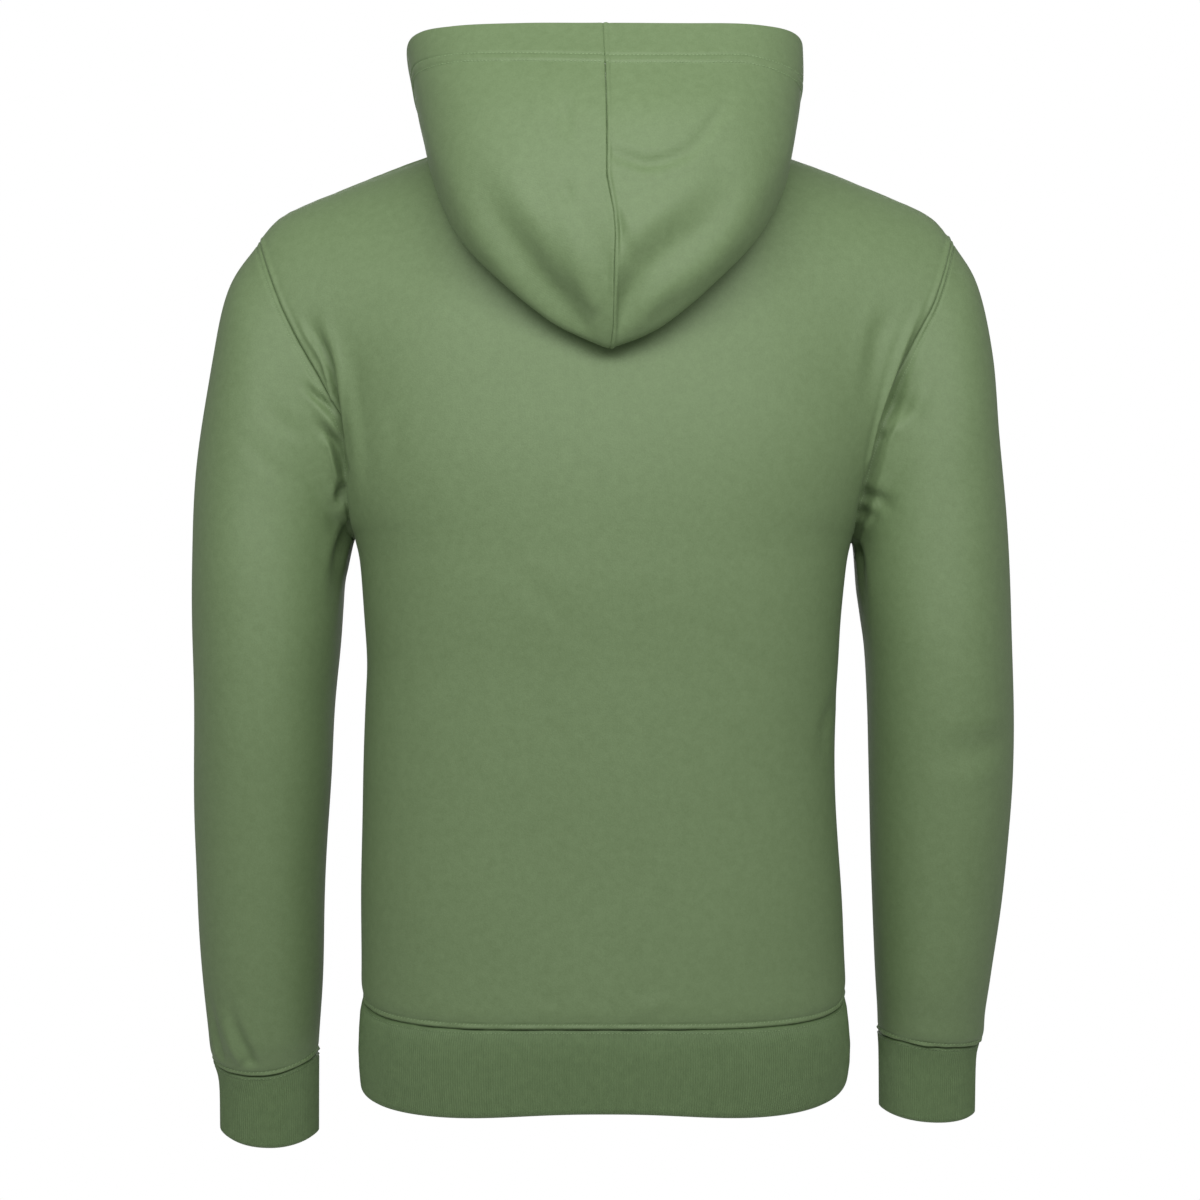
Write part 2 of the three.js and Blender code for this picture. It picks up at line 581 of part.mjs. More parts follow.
// The direction of the wall at each place: every shell's own normal there, added up.
const placeOf = (point) => point.toArray().map((value) => Math.round(value * 20)).join();
const facings = new Map();
for (const piece of pieces)
  eachFace(piece, (corners) => {
    const [a, b, c, d] = corners.map(([r, k]) => piece.grid[r][k]);
    const facing = c.clone().sub(a).cross(d.clone().sub(b));
    for (const point of [a, b, c, d]) {
      const key = placeOf(point);
      if (!facings.has(key)) facings.set(key, new Map());
      const shells = facings.get(key);
      if (!shells.has(piece.shell)) shells.set(piece.shell, vec(0, 0, 0));
      shells.get(piece.shell).add(facing);
    }
  });

// The unit direction at a point, and how much longer than the wall the way through it is there.
function wallAt(point) {
  const shells = [...facings.get(placeOf(point)).values()];
  const sum = vec(0, 0, 0);
  for (const facing of shells) sum.add(facing.clone().normalize());
  const mean = sum.length() / shells.length;
  return { normal: sum.normalize(), stretch: 1 / Math.max(mean, MITRE_LIMIT) };
}

// The move that clears two edges which meet at a point, each by its own width.
function mitre(cuts) {
  if (!cuts.length) return vec(0, 0, 0);
  const [a, b] = cuts;
  const lean = a.away.dot(b.away);
  if (lean > 0.95)
    return a.away.clone().add(b.away).normalize().multiplyScalar((a.width + b.width) / 2);
  const scale = 1 / (1 - lean * lean);
  return a.away.clone().multiplyScalar(scale * (a.width - lean * b.width))
    .addScaledVector(b.away, scale * (b.width - lean * a.width));
}

// A wall behind a grid of outer points, as one closed body.
function wallGeometry(piece) {
  const { grid, wrap, flip, gap, wall, casing, ribs } = piece;
  const rows = grid.length;
  const columns = grid[0].length;
  const outer = [];
  const inner = [];
  const cell = (r, c) =>
    grid[THREE.MathUtils.clamp(r, 0, rows - 1)][
      wrap ? (c + columns) % columns : THREE.MathUtils.clamp(c, 0, columns - 1)
    ];
  for (let r = 0; r < rows; r += 1)
    for (let c = 0; c < columns; c += 1) {
      const here = cell(r, c);
      const { normal, stretch } = wallAt(here);
      const cuts = [];
      const cut = (next, inside, width) => {
        if (next === here) return;
        const away = next.clone().sub(here).cross(normal).normalize();
        if (away.dot(inside.clone().sub(here)) < 0) away.negate();
        cuts.push({ away, width });
      };
      const rowEdge = (inside, width) => {
        cut(cell(r, c + 1), inside, width);
        cut(cell(r, c - 1), inside, width);
      };
      const columnEdge = (inside, width) => {
        cut(cell(r + 1, c), inside, width);
        cut(cell(r - 1, c), inside, width);
      };
      if (r === 0) rowEdge(cell(1, c), gap[0]);
      if (r === rows - 1) rowEdge(cell(rows - 2, c), gap[1]);
      if (!wrap && c === 0) columnEdge(cell(r, 1), gap[2]);
      if (!wrap && c === columns - 1) columnEdge(cell(r, columns - 2), gap[3]);
      const point = here.clone().add(mitre(cuts));
      let thickness = wall;
      if (casing && grid[r][c].distanceTo(grid[r][columns - 1]) < CASING.width)
        thickness += CASING.extra;
      outer.push(point);
      const behind = point.clone().addScaledVector(normal, -thickness * stretch);
      inner.push(casing && c > 0 ? clearOfBody(behind, shoulders) : behind);
    }
  const positions = [];
  const quad = (a, b, c, d) => {
    for (const point of [a, b, c, a, c, d]) positions.push(...point.toArray());
  };
  const at = (r, c) => r * columns + c;
  eachFace(piece, (corners) => {
    const [a, b, c, d] = corners.map(([r, k]) => at(r, k));
    if (!ribs) quad(outer[a], outer[b], outer[c], outer[d]);
    quad(inner[c], inner[b], inner[a], inner[d]);
  });
  // Joins two closed rings of points that start at the same place, by their places round them.
  const join = (upper, upperAt, lower, lowerAt) => {
    const nextAt = (places, i) => (i < places.length ? places[i + 1] ?? 1e6 : 1e9);
    let i = 0;
    let k = 0;
    while (i < upper.length || k < lower.length) {
      const a = upper[i % upper.length];
      const b = lower[k % lower.length];
      const onUpper = nextAt(upperAt, i) <= nextAt(lowerAt, k);
      if (onUpper) i += 1;
      else k += 1;
      const next = onUpper ? upper[i % upper.length] : lower[k % lower.length];
      const corners = flip ? [b, next, a] : [a, next, b];
      for (const point of corners) positions.push(...point.toArray());
    }
  };
  const edge = (a, b) => {
    const ring = flip
      ? [outer[a], outer[b], inner[b], inner[a]]
      : [outer[b], outer[a], inner[a], inner[b]];
    // Both sides of a seam split a twisted quad along the same diagonal.
    if (ring[0].dot(SPLIT) < (flip ? outer[b] : outer[a]).dot(SPLIT)) ring.push(ring.shift());
    quad(...ring);
  };
  for (let c = 0; c < (wrap ? columns : columns - 1); c += 1) {
    const next = (c + 1) % columns;
    edge(at(0, c), at(0, next));
    if (!ribs) edge(at(rows - 1, next), at(rows - 1, c));
  }
  if (ribs) {
    join(outer.slice(0, columns), ribs.plain, ribs.rows[0], ribs.places);
    ribs.rows.slice(1).forEach((row, r) => join(ribs.rows[r], ribs.places, row, ribs.places));
    join(ribs.rows.at(-1), ribs.places, inner.slice(-columns), ribs.plain);
  }
  if (!wrap)
    for (let r = 0; r < rows - 1; r += 1) {
      edge(at(r + 1, 0), at(r, 0));
      edge(at(r, columns - 1), at(r + 1, columns - 1));
    }
  return new THREE.BufferGeometry()
    .setAttribute("position", new THREE.Float32BufferAttribute(positions, 3));
}

const hoodie = new THREE.Group();
for (const piece of pieces) {
  const geometry = wallGeometry(piece);
  geometry.computeVertexNormals();
  const mesh = new THREE.Mesh(geometry, material(piece.roughness));
  mesh.name = piece.name;
  hoodie.add(mesh);
}

export default hoodie;
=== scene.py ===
# A pullover hoodie, filled out as it is worn with no wearer in it.
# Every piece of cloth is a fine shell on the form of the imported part, with its folds, seams, ribs and stitches.
import math

import bpy
import numpy as np
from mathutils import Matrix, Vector, kdtree
from mathutils.bvhtree import BVHTree


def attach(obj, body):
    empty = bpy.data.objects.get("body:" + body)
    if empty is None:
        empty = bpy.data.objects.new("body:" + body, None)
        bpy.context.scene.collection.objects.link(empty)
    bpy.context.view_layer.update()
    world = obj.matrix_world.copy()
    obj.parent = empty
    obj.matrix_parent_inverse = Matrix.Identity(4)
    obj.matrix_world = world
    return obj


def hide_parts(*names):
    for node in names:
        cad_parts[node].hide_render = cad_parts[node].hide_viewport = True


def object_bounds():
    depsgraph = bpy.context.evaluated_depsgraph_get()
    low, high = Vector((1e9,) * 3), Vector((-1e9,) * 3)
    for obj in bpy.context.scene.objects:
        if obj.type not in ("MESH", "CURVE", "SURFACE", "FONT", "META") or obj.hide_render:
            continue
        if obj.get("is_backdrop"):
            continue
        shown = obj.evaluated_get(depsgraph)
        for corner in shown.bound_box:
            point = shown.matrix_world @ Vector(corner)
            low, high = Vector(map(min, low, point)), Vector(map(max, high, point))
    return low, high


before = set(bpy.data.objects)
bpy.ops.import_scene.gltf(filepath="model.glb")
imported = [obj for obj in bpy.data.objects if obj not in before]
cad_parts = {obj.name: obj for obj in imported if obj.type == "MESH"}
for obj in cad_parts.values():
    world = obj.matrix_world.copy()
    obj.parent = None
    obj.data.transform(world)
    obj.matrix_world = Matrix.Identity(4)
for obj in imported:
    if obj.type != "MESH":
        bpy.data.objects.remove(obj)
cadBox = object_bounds()
print("frame loaded:", len(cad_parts), "nodes")

# camera, lights and floor
studio = {
    "cameraPlace": (-0.0029, -1.8, -0.324),
    "lens": 75,
    "sensor": 36,
    "floorHeight": -1.15,
    "floorRadius": 1.3,
}
camera = bpy.data.objects.new("camera", bpy.data.cameras.new("camera"))
camera.data.lens = studio["lens"]
camera.data.sensor_width = studio["sensor"]
camera.location = studio["cameraPlace"]
camera.rotation_euler = (math.pi / 2, 0, 0)
bpy.context.collection.objects.link(camera)
bpy.context.scene.camera = camera

# ---- the garment's measures, in millimetres, as in the part's source
neck = {
    "halfWidth": 88, "top": 8, "seamY": 4, "share": 0.42,
    "back": (66, 26, 0.85), "front": (76, 96, 0.9),   # depth, drop, squareness
}
underarmZ = -278
hemSeam = {"left": -605, "right": -603, "low": -618, "lift": 2, "spread": 0.25}
hemEdge = {"left": -667, "right": -660, "low": -679, "lift": 6, "spread": 0.25}
seamDip = {"depth": 2.2, "reach": 7}
roundness = {"body": 2.45, "sleeve": 2.15}
cloth = {"wall": 2.2, "ribWall": 3.0, "frontEdgeGap": 3.0, "casing": 26, "casingExtra": 1.8}

torso = {
    "z": [-690, -650, -612, -554, -497, -439, -396, -367, -338, -309, -292, -278],
    "left": [172, 175.7, 174.5, 173.5, 172.7, 171.3, 170.4, 169.3, 170.6, 173, 175.4, 179.3],
    "right": [169, 176, 173.8, 171.5, 167.8, 165.3, 166.2, 167.8, 169.2, 172, 174.4, 178],
    "back": [98, 102, 103, 104, 105, 107, 110, 112, 115, 118, 119, 120],
    "front": [96, 99, 100, 102, 104, 106, 110, 112, 115, 119, 120.5, 122],
}
sleeve = {
    "left": {
        "outX": [247.5, 268.5, 281, 289.5, 294, 294.2, 294.5, 294, 294, 293, 290.5, 288.5, 287.5, 285],
        "outZ": [-65.5, -98, -149, -205, -266, -338, -396, -450, -500, -550, -600, -632, -649, -657],
        "inX": [179.3, 182, 184.5, 187, 188.5, 190.5, 194.4, 197, 200, 203, 205, 207, 208, 208.5],
        "inZ": [-278, -288, -300, -312, -330, -356, -399, -450, -500, -550, -600, -632, -646, -654],
        "midY": [4, 4, 3, 2, 1, 0, 1, 4, 8, 13, 18, 22, 25, 26],
        "half": [62, 66, 69, 71, 73, 73, 70, 66, 61, 56, 51, 47, 43, 39],
        "sag": [0, 0, 0, 0, 0, 0, 0, 0, 0, 0, 2, 5, 8, 9],
    },
    "right": {
        "outX": [249.5, 268.5, 279.2, 283.5, 288, 291.5, 293.7, 293.2, 290.5, 287, 280.5, 276.8, 275.8, 273.5],
        "outZ": [-64.5, -96, -147, -205, -266, -338, -396, -445, -495, -545, -595, -622, -637, -644.5],
        "inX": [178, 180, 181, 182, 184.5, 187.5, 189.5, 191, 193, 195.5, 197.5, 199, 199.5, 200],
        "inZ": [-278, -288, -302, -317, -336, -360, -399, -445, -495, -545, -595, -620, -632, -638.5],
        "midY": [4, 4, 3, 2, 1, 0, 1, 4, 8, 13, 18, 22, 24, 25],
        "half": [62, 66, 69, 71, 73, 73, 70, 66, 61, 56, 50, 45, 42, 38],
        "sag": [0, 0, 0, 0, 0, 0, 0, 0, 0, 0, 0, 1, 2, 2],
    },
}
cuff = {
    "left": {
        "outX": [285, 280.5, 280], "outZ": [-657, -674, -708], "inX": [208.5, 208.7, 209],
        "inZ": [-654, -670, -711.5], "midY": [26, 27, 29], "half": [39, 36, 33], "sag": [9, 9, 7],
    },
    "right": {
        "outX": [273.5, 271, 270.5], "outZ": [-644.5, -658, -696], "inX": [200, 201, 201.5],
        "inZ": [-638.5, -653, -693], "midY": [25, 26, 28], "half": [38, 35, 32], "sag": [2, 3, 4],
    },
}
for table in (*sleeve.values(), *cuff.values()):
    table["place"] = list(range(len(table["outX"])))
armholeBow = {
    "up": [0, 0.083, 0.167, 0.25, 0.333, 0.417, 0.5, 0.583, 0.667, 0.833, 1],
    "left": [0, 1, 4, 9, 15, 20, 15.5, 8.5, 4, 1, 0],
    "right": [0, 3, 5.4, 6.7, 8.7, 9.8, 8.8, 5.3, 1, 0, 0],
}
# the first row stands for the other half, so the middle of the yoke is smooth
yoke = {
    "at": [-0.21, 0, 0.21, 0.42, 0.7, 1],
    "backY": [106, 108, 106, 99, 88, 75],
    "backZ": [-62, -74, -62, -38, -44, -78],
    "frontY": [116, 120, 116, 106, 90, 83],
    "frontZ": [-108, -138, -108, -56, -46, -78],
}
shoulderLift = {
    "share": [0, 0.18, 0.36, 0.54, 0.7, 0.84, 0.93, 1],
    "lift": [0, 4.8, 7.8, 9.3, 10.3, 11, 8.5, 0],
}
hoodAt = [0, 0.16, 0.3, 0.42, 0.52, 0.63, 0.76, 0.88, 1]
hood = {
    "rise": [15, 15, 15, 15, 15, 14, 12, 10, 8],
    "roll": [9, 9, 9, 8, 7, 5, 4, 2, 1],
    "lap": [(0, -98, -58), (36, -94, -52), (68, -82, -34), (93, -56, -6), (105, -18, 12),
            (102, 22, 10), (80, 58, -18), (44, 79, -52), (0, 84, -75)],
    "fold": [(0, -127, -156), (35.5, -125, -140), (72, -119, -110), (102, -97, -77), (119, -56, -41),
             (122, -2, 3), (92, 55, -16), (51, 80, -46), (0, 86, -71)],
    "swell": [(0, -152, -98), (41, -148, -88), (87, -133, -64), (117, -101, -32), (128, -56, -10),
              (128.5, 0, 12), (99, 57, -9), (55, 82, -41), (0, 88, -66)],
    "brow": [(0, -138, -4), (51, -132, 0), (99, -112, 8), (127, -78, 20), (134.5, -38, 20),
             (131, 10, 20), (101, 60, -2), (58, 84, -35), (0, 90, -60)],
    "rim": [(0, -95, 69), (56, -91, 70), (106, -75, 71.5), (134, -47, 71), (140, -13, 61),
            (132, 26, 36), (100, 65, 6), (58, 87, -26), (0, 93, -52)],
    "lean": {"lap": 0.3, "fold": 0.85, "swell": 0.9, "brow": 0.75, "rim": 0.15},
    "leanBy": 4.5, "standOut": 2, "clear": 1.6,
    # the centre seam wanders a little on its way down the back
    "driftZ": [-170, -158, -140, -101, -82, -68, -55, -43, -30, 40, 75],
    "driftBy": [0, -0.1, 1.8, 2.4, 3.4, 2.4, -0.1, -2.4, -2.2, -1.4, -1.6],
}

# ---- the form: the same curves as the solids, followed in fine steps


def power(value, exponent):
    return np.sign(value) * np.abs(value) ** exponent


def xyz(x, y, z):
    return np.stack(np.broadcast_arrays(x, y, z), axis=-1).astype(float)


def along(table, key, at, name):
    # a smooth curve through a table's rows, read at any places
    place = np.array(table[key], float)
    value = np.array(table[name], float)
    last = len(place) - 1
    at = np.asarray(at, float)
    i = np.clip(np.searchsorted(place, at, side="right") - 1, 0, last - 1)
    nextOf = lambda k: np.clip(k + 1, 0, last)
    lastOf = lambda k: np.clip(k - 1, 0, last)
    slope = lambda k: (value[nextOf(k)] - value[lastOf(k)]) / (place[nextOf(k)] - place[lastOf(k)])
    span = place[i + 1] - place[i]
    t = np.clip((at - place[i]) / span, 0, 1)
    return (
        value[i] * (2 * t**3 - 3 * t**2 + 1)
        + slope(i) * span * (t**3 - 2 * t**2 + t)
        + value[i + 1] * (3 * t**2 - 2 * t**3)
        + slope(i + 1) * span * (t**3 - t**2)
    )


def smooth(value, low, high):
    t = np.clip((value - low) / (high - low), 0, 1)
    return t * t * (3 - 2 * t)


def sizeOf(vector):
    return np.linalg.norm(vector, axis=-1, keepdims=True)


def unit(vector):
    return vector / np.maximum(sizeOf(vector), 1e-9)


def lengthsAlong(points):
    return np.concatenate([[0], np.cumsum(np.linalg.norm(np.diff(points, axis=0), axis=1))])


def spaced(points, gap, fine=0.8, ends=(7, 7)):
    # shares of a densely sampled curve, gap millimetres apart, and fine as far from an end as ends says
    length = lengthsAlong(points)
    near = [np.clip((away - reach) / 14, 0, 1) if reach else np.ones_like(length)
            for away, reach in zip((length, length[-1] - length), ends)]
    step = fine + (gap - fine) * np.minimum(*near)
    density = np.concatenate([[0], np.cumsum(np.diff(length) * (1 / step[1:] + 1 / step[:-1]) / 2)])
    count = int(math.ceil(density[-1]))
    return np.interp(np.linspace(0, density[-1], count + 1), density, np.linspace(0, 1, len(points)))


def torsoPoint(z, across, face, drawnIn=0.0):
    z, across = np.broadcast_arrays(z, across)
    width = np.where(across < 0, along(torso, "z", z, "left"), along(torso, "z", z, "right")) - drawnIn
    depth = along(torso, "z", z, face) - drawnIn
    angle = across * math.pi / 2
    x = width * power(np.sin(angle), 2 / roundness["body"])
    y = depth * power(np.maximum(np.cos(angle), 0), 2 / roundness["body"])
    return xyz(x, -y if face == "back" else y, z)


def dip(distance):
    return seamDip["depth"] * np.exp(-((distance / seamDip["reach"]) ** 2))


def levelOf(level, across):
    side = np.where(across < 0, level["left"], level["right"])
    return level["low"] + (side - level["low"]) * across**4 + level["lift"] * np.exp(-((across / level["spread"]) ** 2))


def sectionPoint(row, side, turn):
    sign = -1 if side == "left" else 1
    cos = power(np.cos(turn), 2 / roundness["sleeve"])
    sin = power(np.sin(turn), 2 / roundness["sleeve"])
    x = (row["outX"] + row["inX"]) / 2 + (row["outX"] - row["inX"]) / 2 * cos
    z = (row["outZ"] + row["inZ"]) / 2 + (row["outZ"] - row["inZ"]) / 2 * cos - row["sag"] * sin * sin
    return xyz(sign * x, row["midY"] + row["half"] * sin, z)


def rowAt(table, place):
    return {name: along(table, "place", place, name) for name in table if name != "place"}


def armholePoint(side, face, up):
    turn = math.pi * (1 - up) * (-1 if face == "back" else 1)
    row = {**rowAt(sleeve[side], 0.0), "midY": neck["seamY"] * up}
    point = sectionPoint(row, side, turn)
    if face == "back":
        point[..., 0] += (1 if side == "left" else -1) * along(armholeBow, "up", up, side)
    return point


def neckPoint(face, around):
    depth, drop, square = neck[face]
    angle = around * math.pi / 2
    y = depth * power(np.maximum(np.cos(angle), 0), square)
    return xyz(
        neck["halfWidth"] * np.sin(angle),
        neck["seamY"] + (-y if face == "back" else y),
        neck["top"] - drop * np.maximum(np.cos(angle), 0) ** 1.3,
    )


def topPoint(face, across):
    away = np.abs(across)
    sign = np.where(across < 0, -1.0, 1.0)
    neckline = neckPoint(face, np.clip(away / neck["share"], 0, 1))
    neckline[..., 0] *= sign
    t = np.clip((away - neck["share"]) / (1 - neck["share"]), 0, 1)[..., None]
    corner = neckPoint(face, np.ones_like(away))
    corner[..., 0] *= sign
    tips = [sectionPoint(rowAt(sleeve[side], 0.0), side, 0.0) for side in ("left", "right")]
    tip = np.where((across < 0)[..., None], tips[0], tips[1])
    shoulder = corner * (1 - t) + tip * t
    shoulder[..., 2] += along(shoulderLift, "share", t[..., 0], "lift")
    return np.where((away <= neck["share"])[..., None], neckline, shoulder)


cornerBlur = [(0.11 * k, math.exp(-((k / 2.2) ** 2)) / sum(math.exp(-((j / 2.2) ** 2)) for j in range(-4, 5)))
              for k in range(-4, 5)]


def yokeColumn(face, across, up):
    away = np.abs(across)
    base = torsoPoint(underarmZ, across, face)
    rise = unit(base - torsoPoint(underarmZ - 10, across, face))
    # the corner between neckline and shoulder fades below the seam
    top = sum(share * topPoint(face, np.clip(across + aside * (1 - up), -1, 1)) for aside, share in cornerBlur)
    follow = 0.7 * smooth(away, 0.35, 1)
    y = along(yoke, "at", away, face + "Y")
    lead = xyz(base[..., 0] * (1 - follow) + top[..., 0] * follow, -y if face == "back" else y,
               along(yoke, "at", away, face + "Z"))
    t = up[..., None]
    return (base * (1 - t) ** 3 + 3 * (base + rise * 85) * t * (1 - t) ** 2
            + 3 * lead * t**2 * (1 - t) + top * t**3)


def yokePoint(face, across, up):
    across, up = np.broadcast_arrays(across, up)
    point = yokeColumn(face, across, up)
    end = np.where(across < 0, -1.0, 1.0)
    seam = np.where((across < 0)[..., None], armholePoint("left", face, up), armholePoint("right", face, up))
    return point + (seam - yokeColumn(face, end, up)) * (np.abs(across) ** 3.2)[..., None]


def curveThrough(points, places):
    # a centripetal curve through named points (points, columns, xyz), read at places from 0 to 1
    padded = np.concatenate([[2 * points[0] - points[1]], points, [2 * points[-1] - points[-2]]])
    knot = np.maximum(np.sqrt(np.linalg.norm(np.diff(padded, axis=0), axis=-1)), 1e-3)[..., None]
    made = []
    for place in np.atleast_1d(places):
        p = place * (len(points) - 1)
        i = min(int(p), len(points) - 2)
        t = p - i
        x0, x1, x2, x3 = padded[i:i + 4]
        d0, d1, d2 = knot[i:i + 3]
        m1 = ((x1 - x0) / d0 - (x2 - x0) / (d0 + d1) + (x2 - x1) / d1) * d1
        m2 = ((x2 - x1) / d1 - (x3 - x1) / (d1 + d2) + (x3 - x2) / d2) * d1
        made.append(x1 + m1 * t + (-3 * x1 + 3 * x2 - 2 * m1 - m2) * t**2 + (2 * x1 - 2 * x2 + m1 + m2) * t**3)
    return np.array(made)


def hoodSection(side, at):
    # the named points of the hood's section at every place from the centre seam to the front edge
    sign = -1 if side == "left" else 1
    def named(name):
        parts = [along({"at": hoodAt, "v": [p[k] for p in hood[name]]}, "at", at, "v") for k in range(3)]
        point = xyz(sign * parts[0], parts[1], parts[2])
        point[..., 0] += hood["leanBy"] * hood["lean"][name] * (1 - at**2)
        return point
    back = (at < 0.5)[:, None]
    neckline = np.where(back, neckPoint("back", np.clip(2 * at, 0, 1)), neckPoint("front", np.clip(2 - 2 * at, 0, 1)))
    neckline[:, 0] *= sign
    flat = neckline * (1, 1, 0)
    stand = neckline + unit(flat) * hood["standOut"]
    stand[:, 2] += along({"at": hoodAt, "v": hood["rise"]}, "at", at, "v")
    lap, foldLine, swell = named("lap"), named("fold"), named("swell")
    roll = along({"at": hoodAt, "v": hood["roll"]}, "at", at, "v")[:, None]
    outward = unit((swell - lap) * (1, 1, 0))
    curl = (1 - 2 * smooth(at, 0.7, 0.95))[:, None]
    raised = np.array([0, 0, 1.0])
    return np.array([
        neckline, stand, lap,
        foldLine - outward * roll + raised * roll * curl,
        foldLine,
        foldLine + outward * roll + raised * roll,
        swell, named("brow"), named("rim"),
    ])


def facingOf(grid, wrap, flip):
    # the outward direction at every point of a grid
    rows = np.gradient(grid, axis=0)
    if wrap:
        columns = (np.roll(grid, -1, axis=1) - np.roll(grid, 1, axis=1)) / 2
    else:
        columns = np.gradient(grid, axis=1)
    return unit(np.cross(columns, rows)) * (-1 if flip else 1)


# ---- folds: each is a line on the cloth; every point holds x, y, z, depth and half width in millimetres
# a depth below zero is a ridge; lean makes the side to the left of the line's run wider than the other


def foldOffset(grid, facing, fold):
    path = np.array(fold["path"], float)
    steps = np.linspace(0, 1, 6 * len(path))
    fine = curveThrough(path[:, None, :], steps)[:, 0, :]
    reach = 3.2 * np.abs(fine[:, 4]).max()
    low, high = fine[:, :3].min(0) - reach, fine[:, :3].max(0) + reach
    near = np.all((grid > low) & (grid < high), axis=-1)
    offset = np.zeros(grid.shape[:2])
    if not near.any():
        return offset
    points, normals = grid[near], facing[near]
    a, b = fine[:-1, :3], fine[1:, :3]
    ab = b - a
    t = np.clip(np.einsum("psk,sk->ps", points[:, None] - a[None], ab) / np.maximum((ab**2).sum(-1), 1e-9), 0, 1)
    foot = a[None] + t[..., None] * ab[None]
    distance = np.linalg.norm(points[:, None] - foot, axis=-1)
    best = distance.argmin(axis=1)
    line = np.arange(len(points))
    share = t[line, best]
    depth = fine[best, 3] * (1 - share) + fine[best + 1, 3] * share
    width = np.maximum(fine[best, 4] * (1 - share) + fine[best + 1, 4] * share, 0.5)
    across = np.einsum("pk,pk->p", np.cross(unit(ab)[best], normals), points - foot[line, best])
    q = distance[line, best] / width
    sided = np.where(across > 0, 1 + fold.get("lean", 0), 1 - fold.get("lean", 0))
    q = q / sided
    shape = np.exp(-q**2) - fold.get("lip", 0.25) * np.exp(-((q - 1.7) / 0.7) ** 2)
    # past an end of the line the fold fades out
    last = ((best == 0) & (share <= 0)) | ((best == len(ab) - 1) & (share >= 1))
    offset[near] = -depth * shape * np.where(last, np.exp(-(distance[line, best] / width) ** 2), 1)
    return offset


def wavering(grid, seed, size, amount):
    # broad, slack unevenness that every hand-sewn panel keeps
    chance = np.random.default_rng(seed)
    total = np.zeros(grid.shape[:2])
    for _ in range(14):
        direction = chance.normal(size=3)
        direction *= 2 * math.pi / (size * chance.uniform(0.7, 1.6)) / np.linalg.norm(direction)
        total += np.sin(grid @ direction + chance.uniform(0, 2 * math.pi))
    return amount * total / math.sqrt(7)


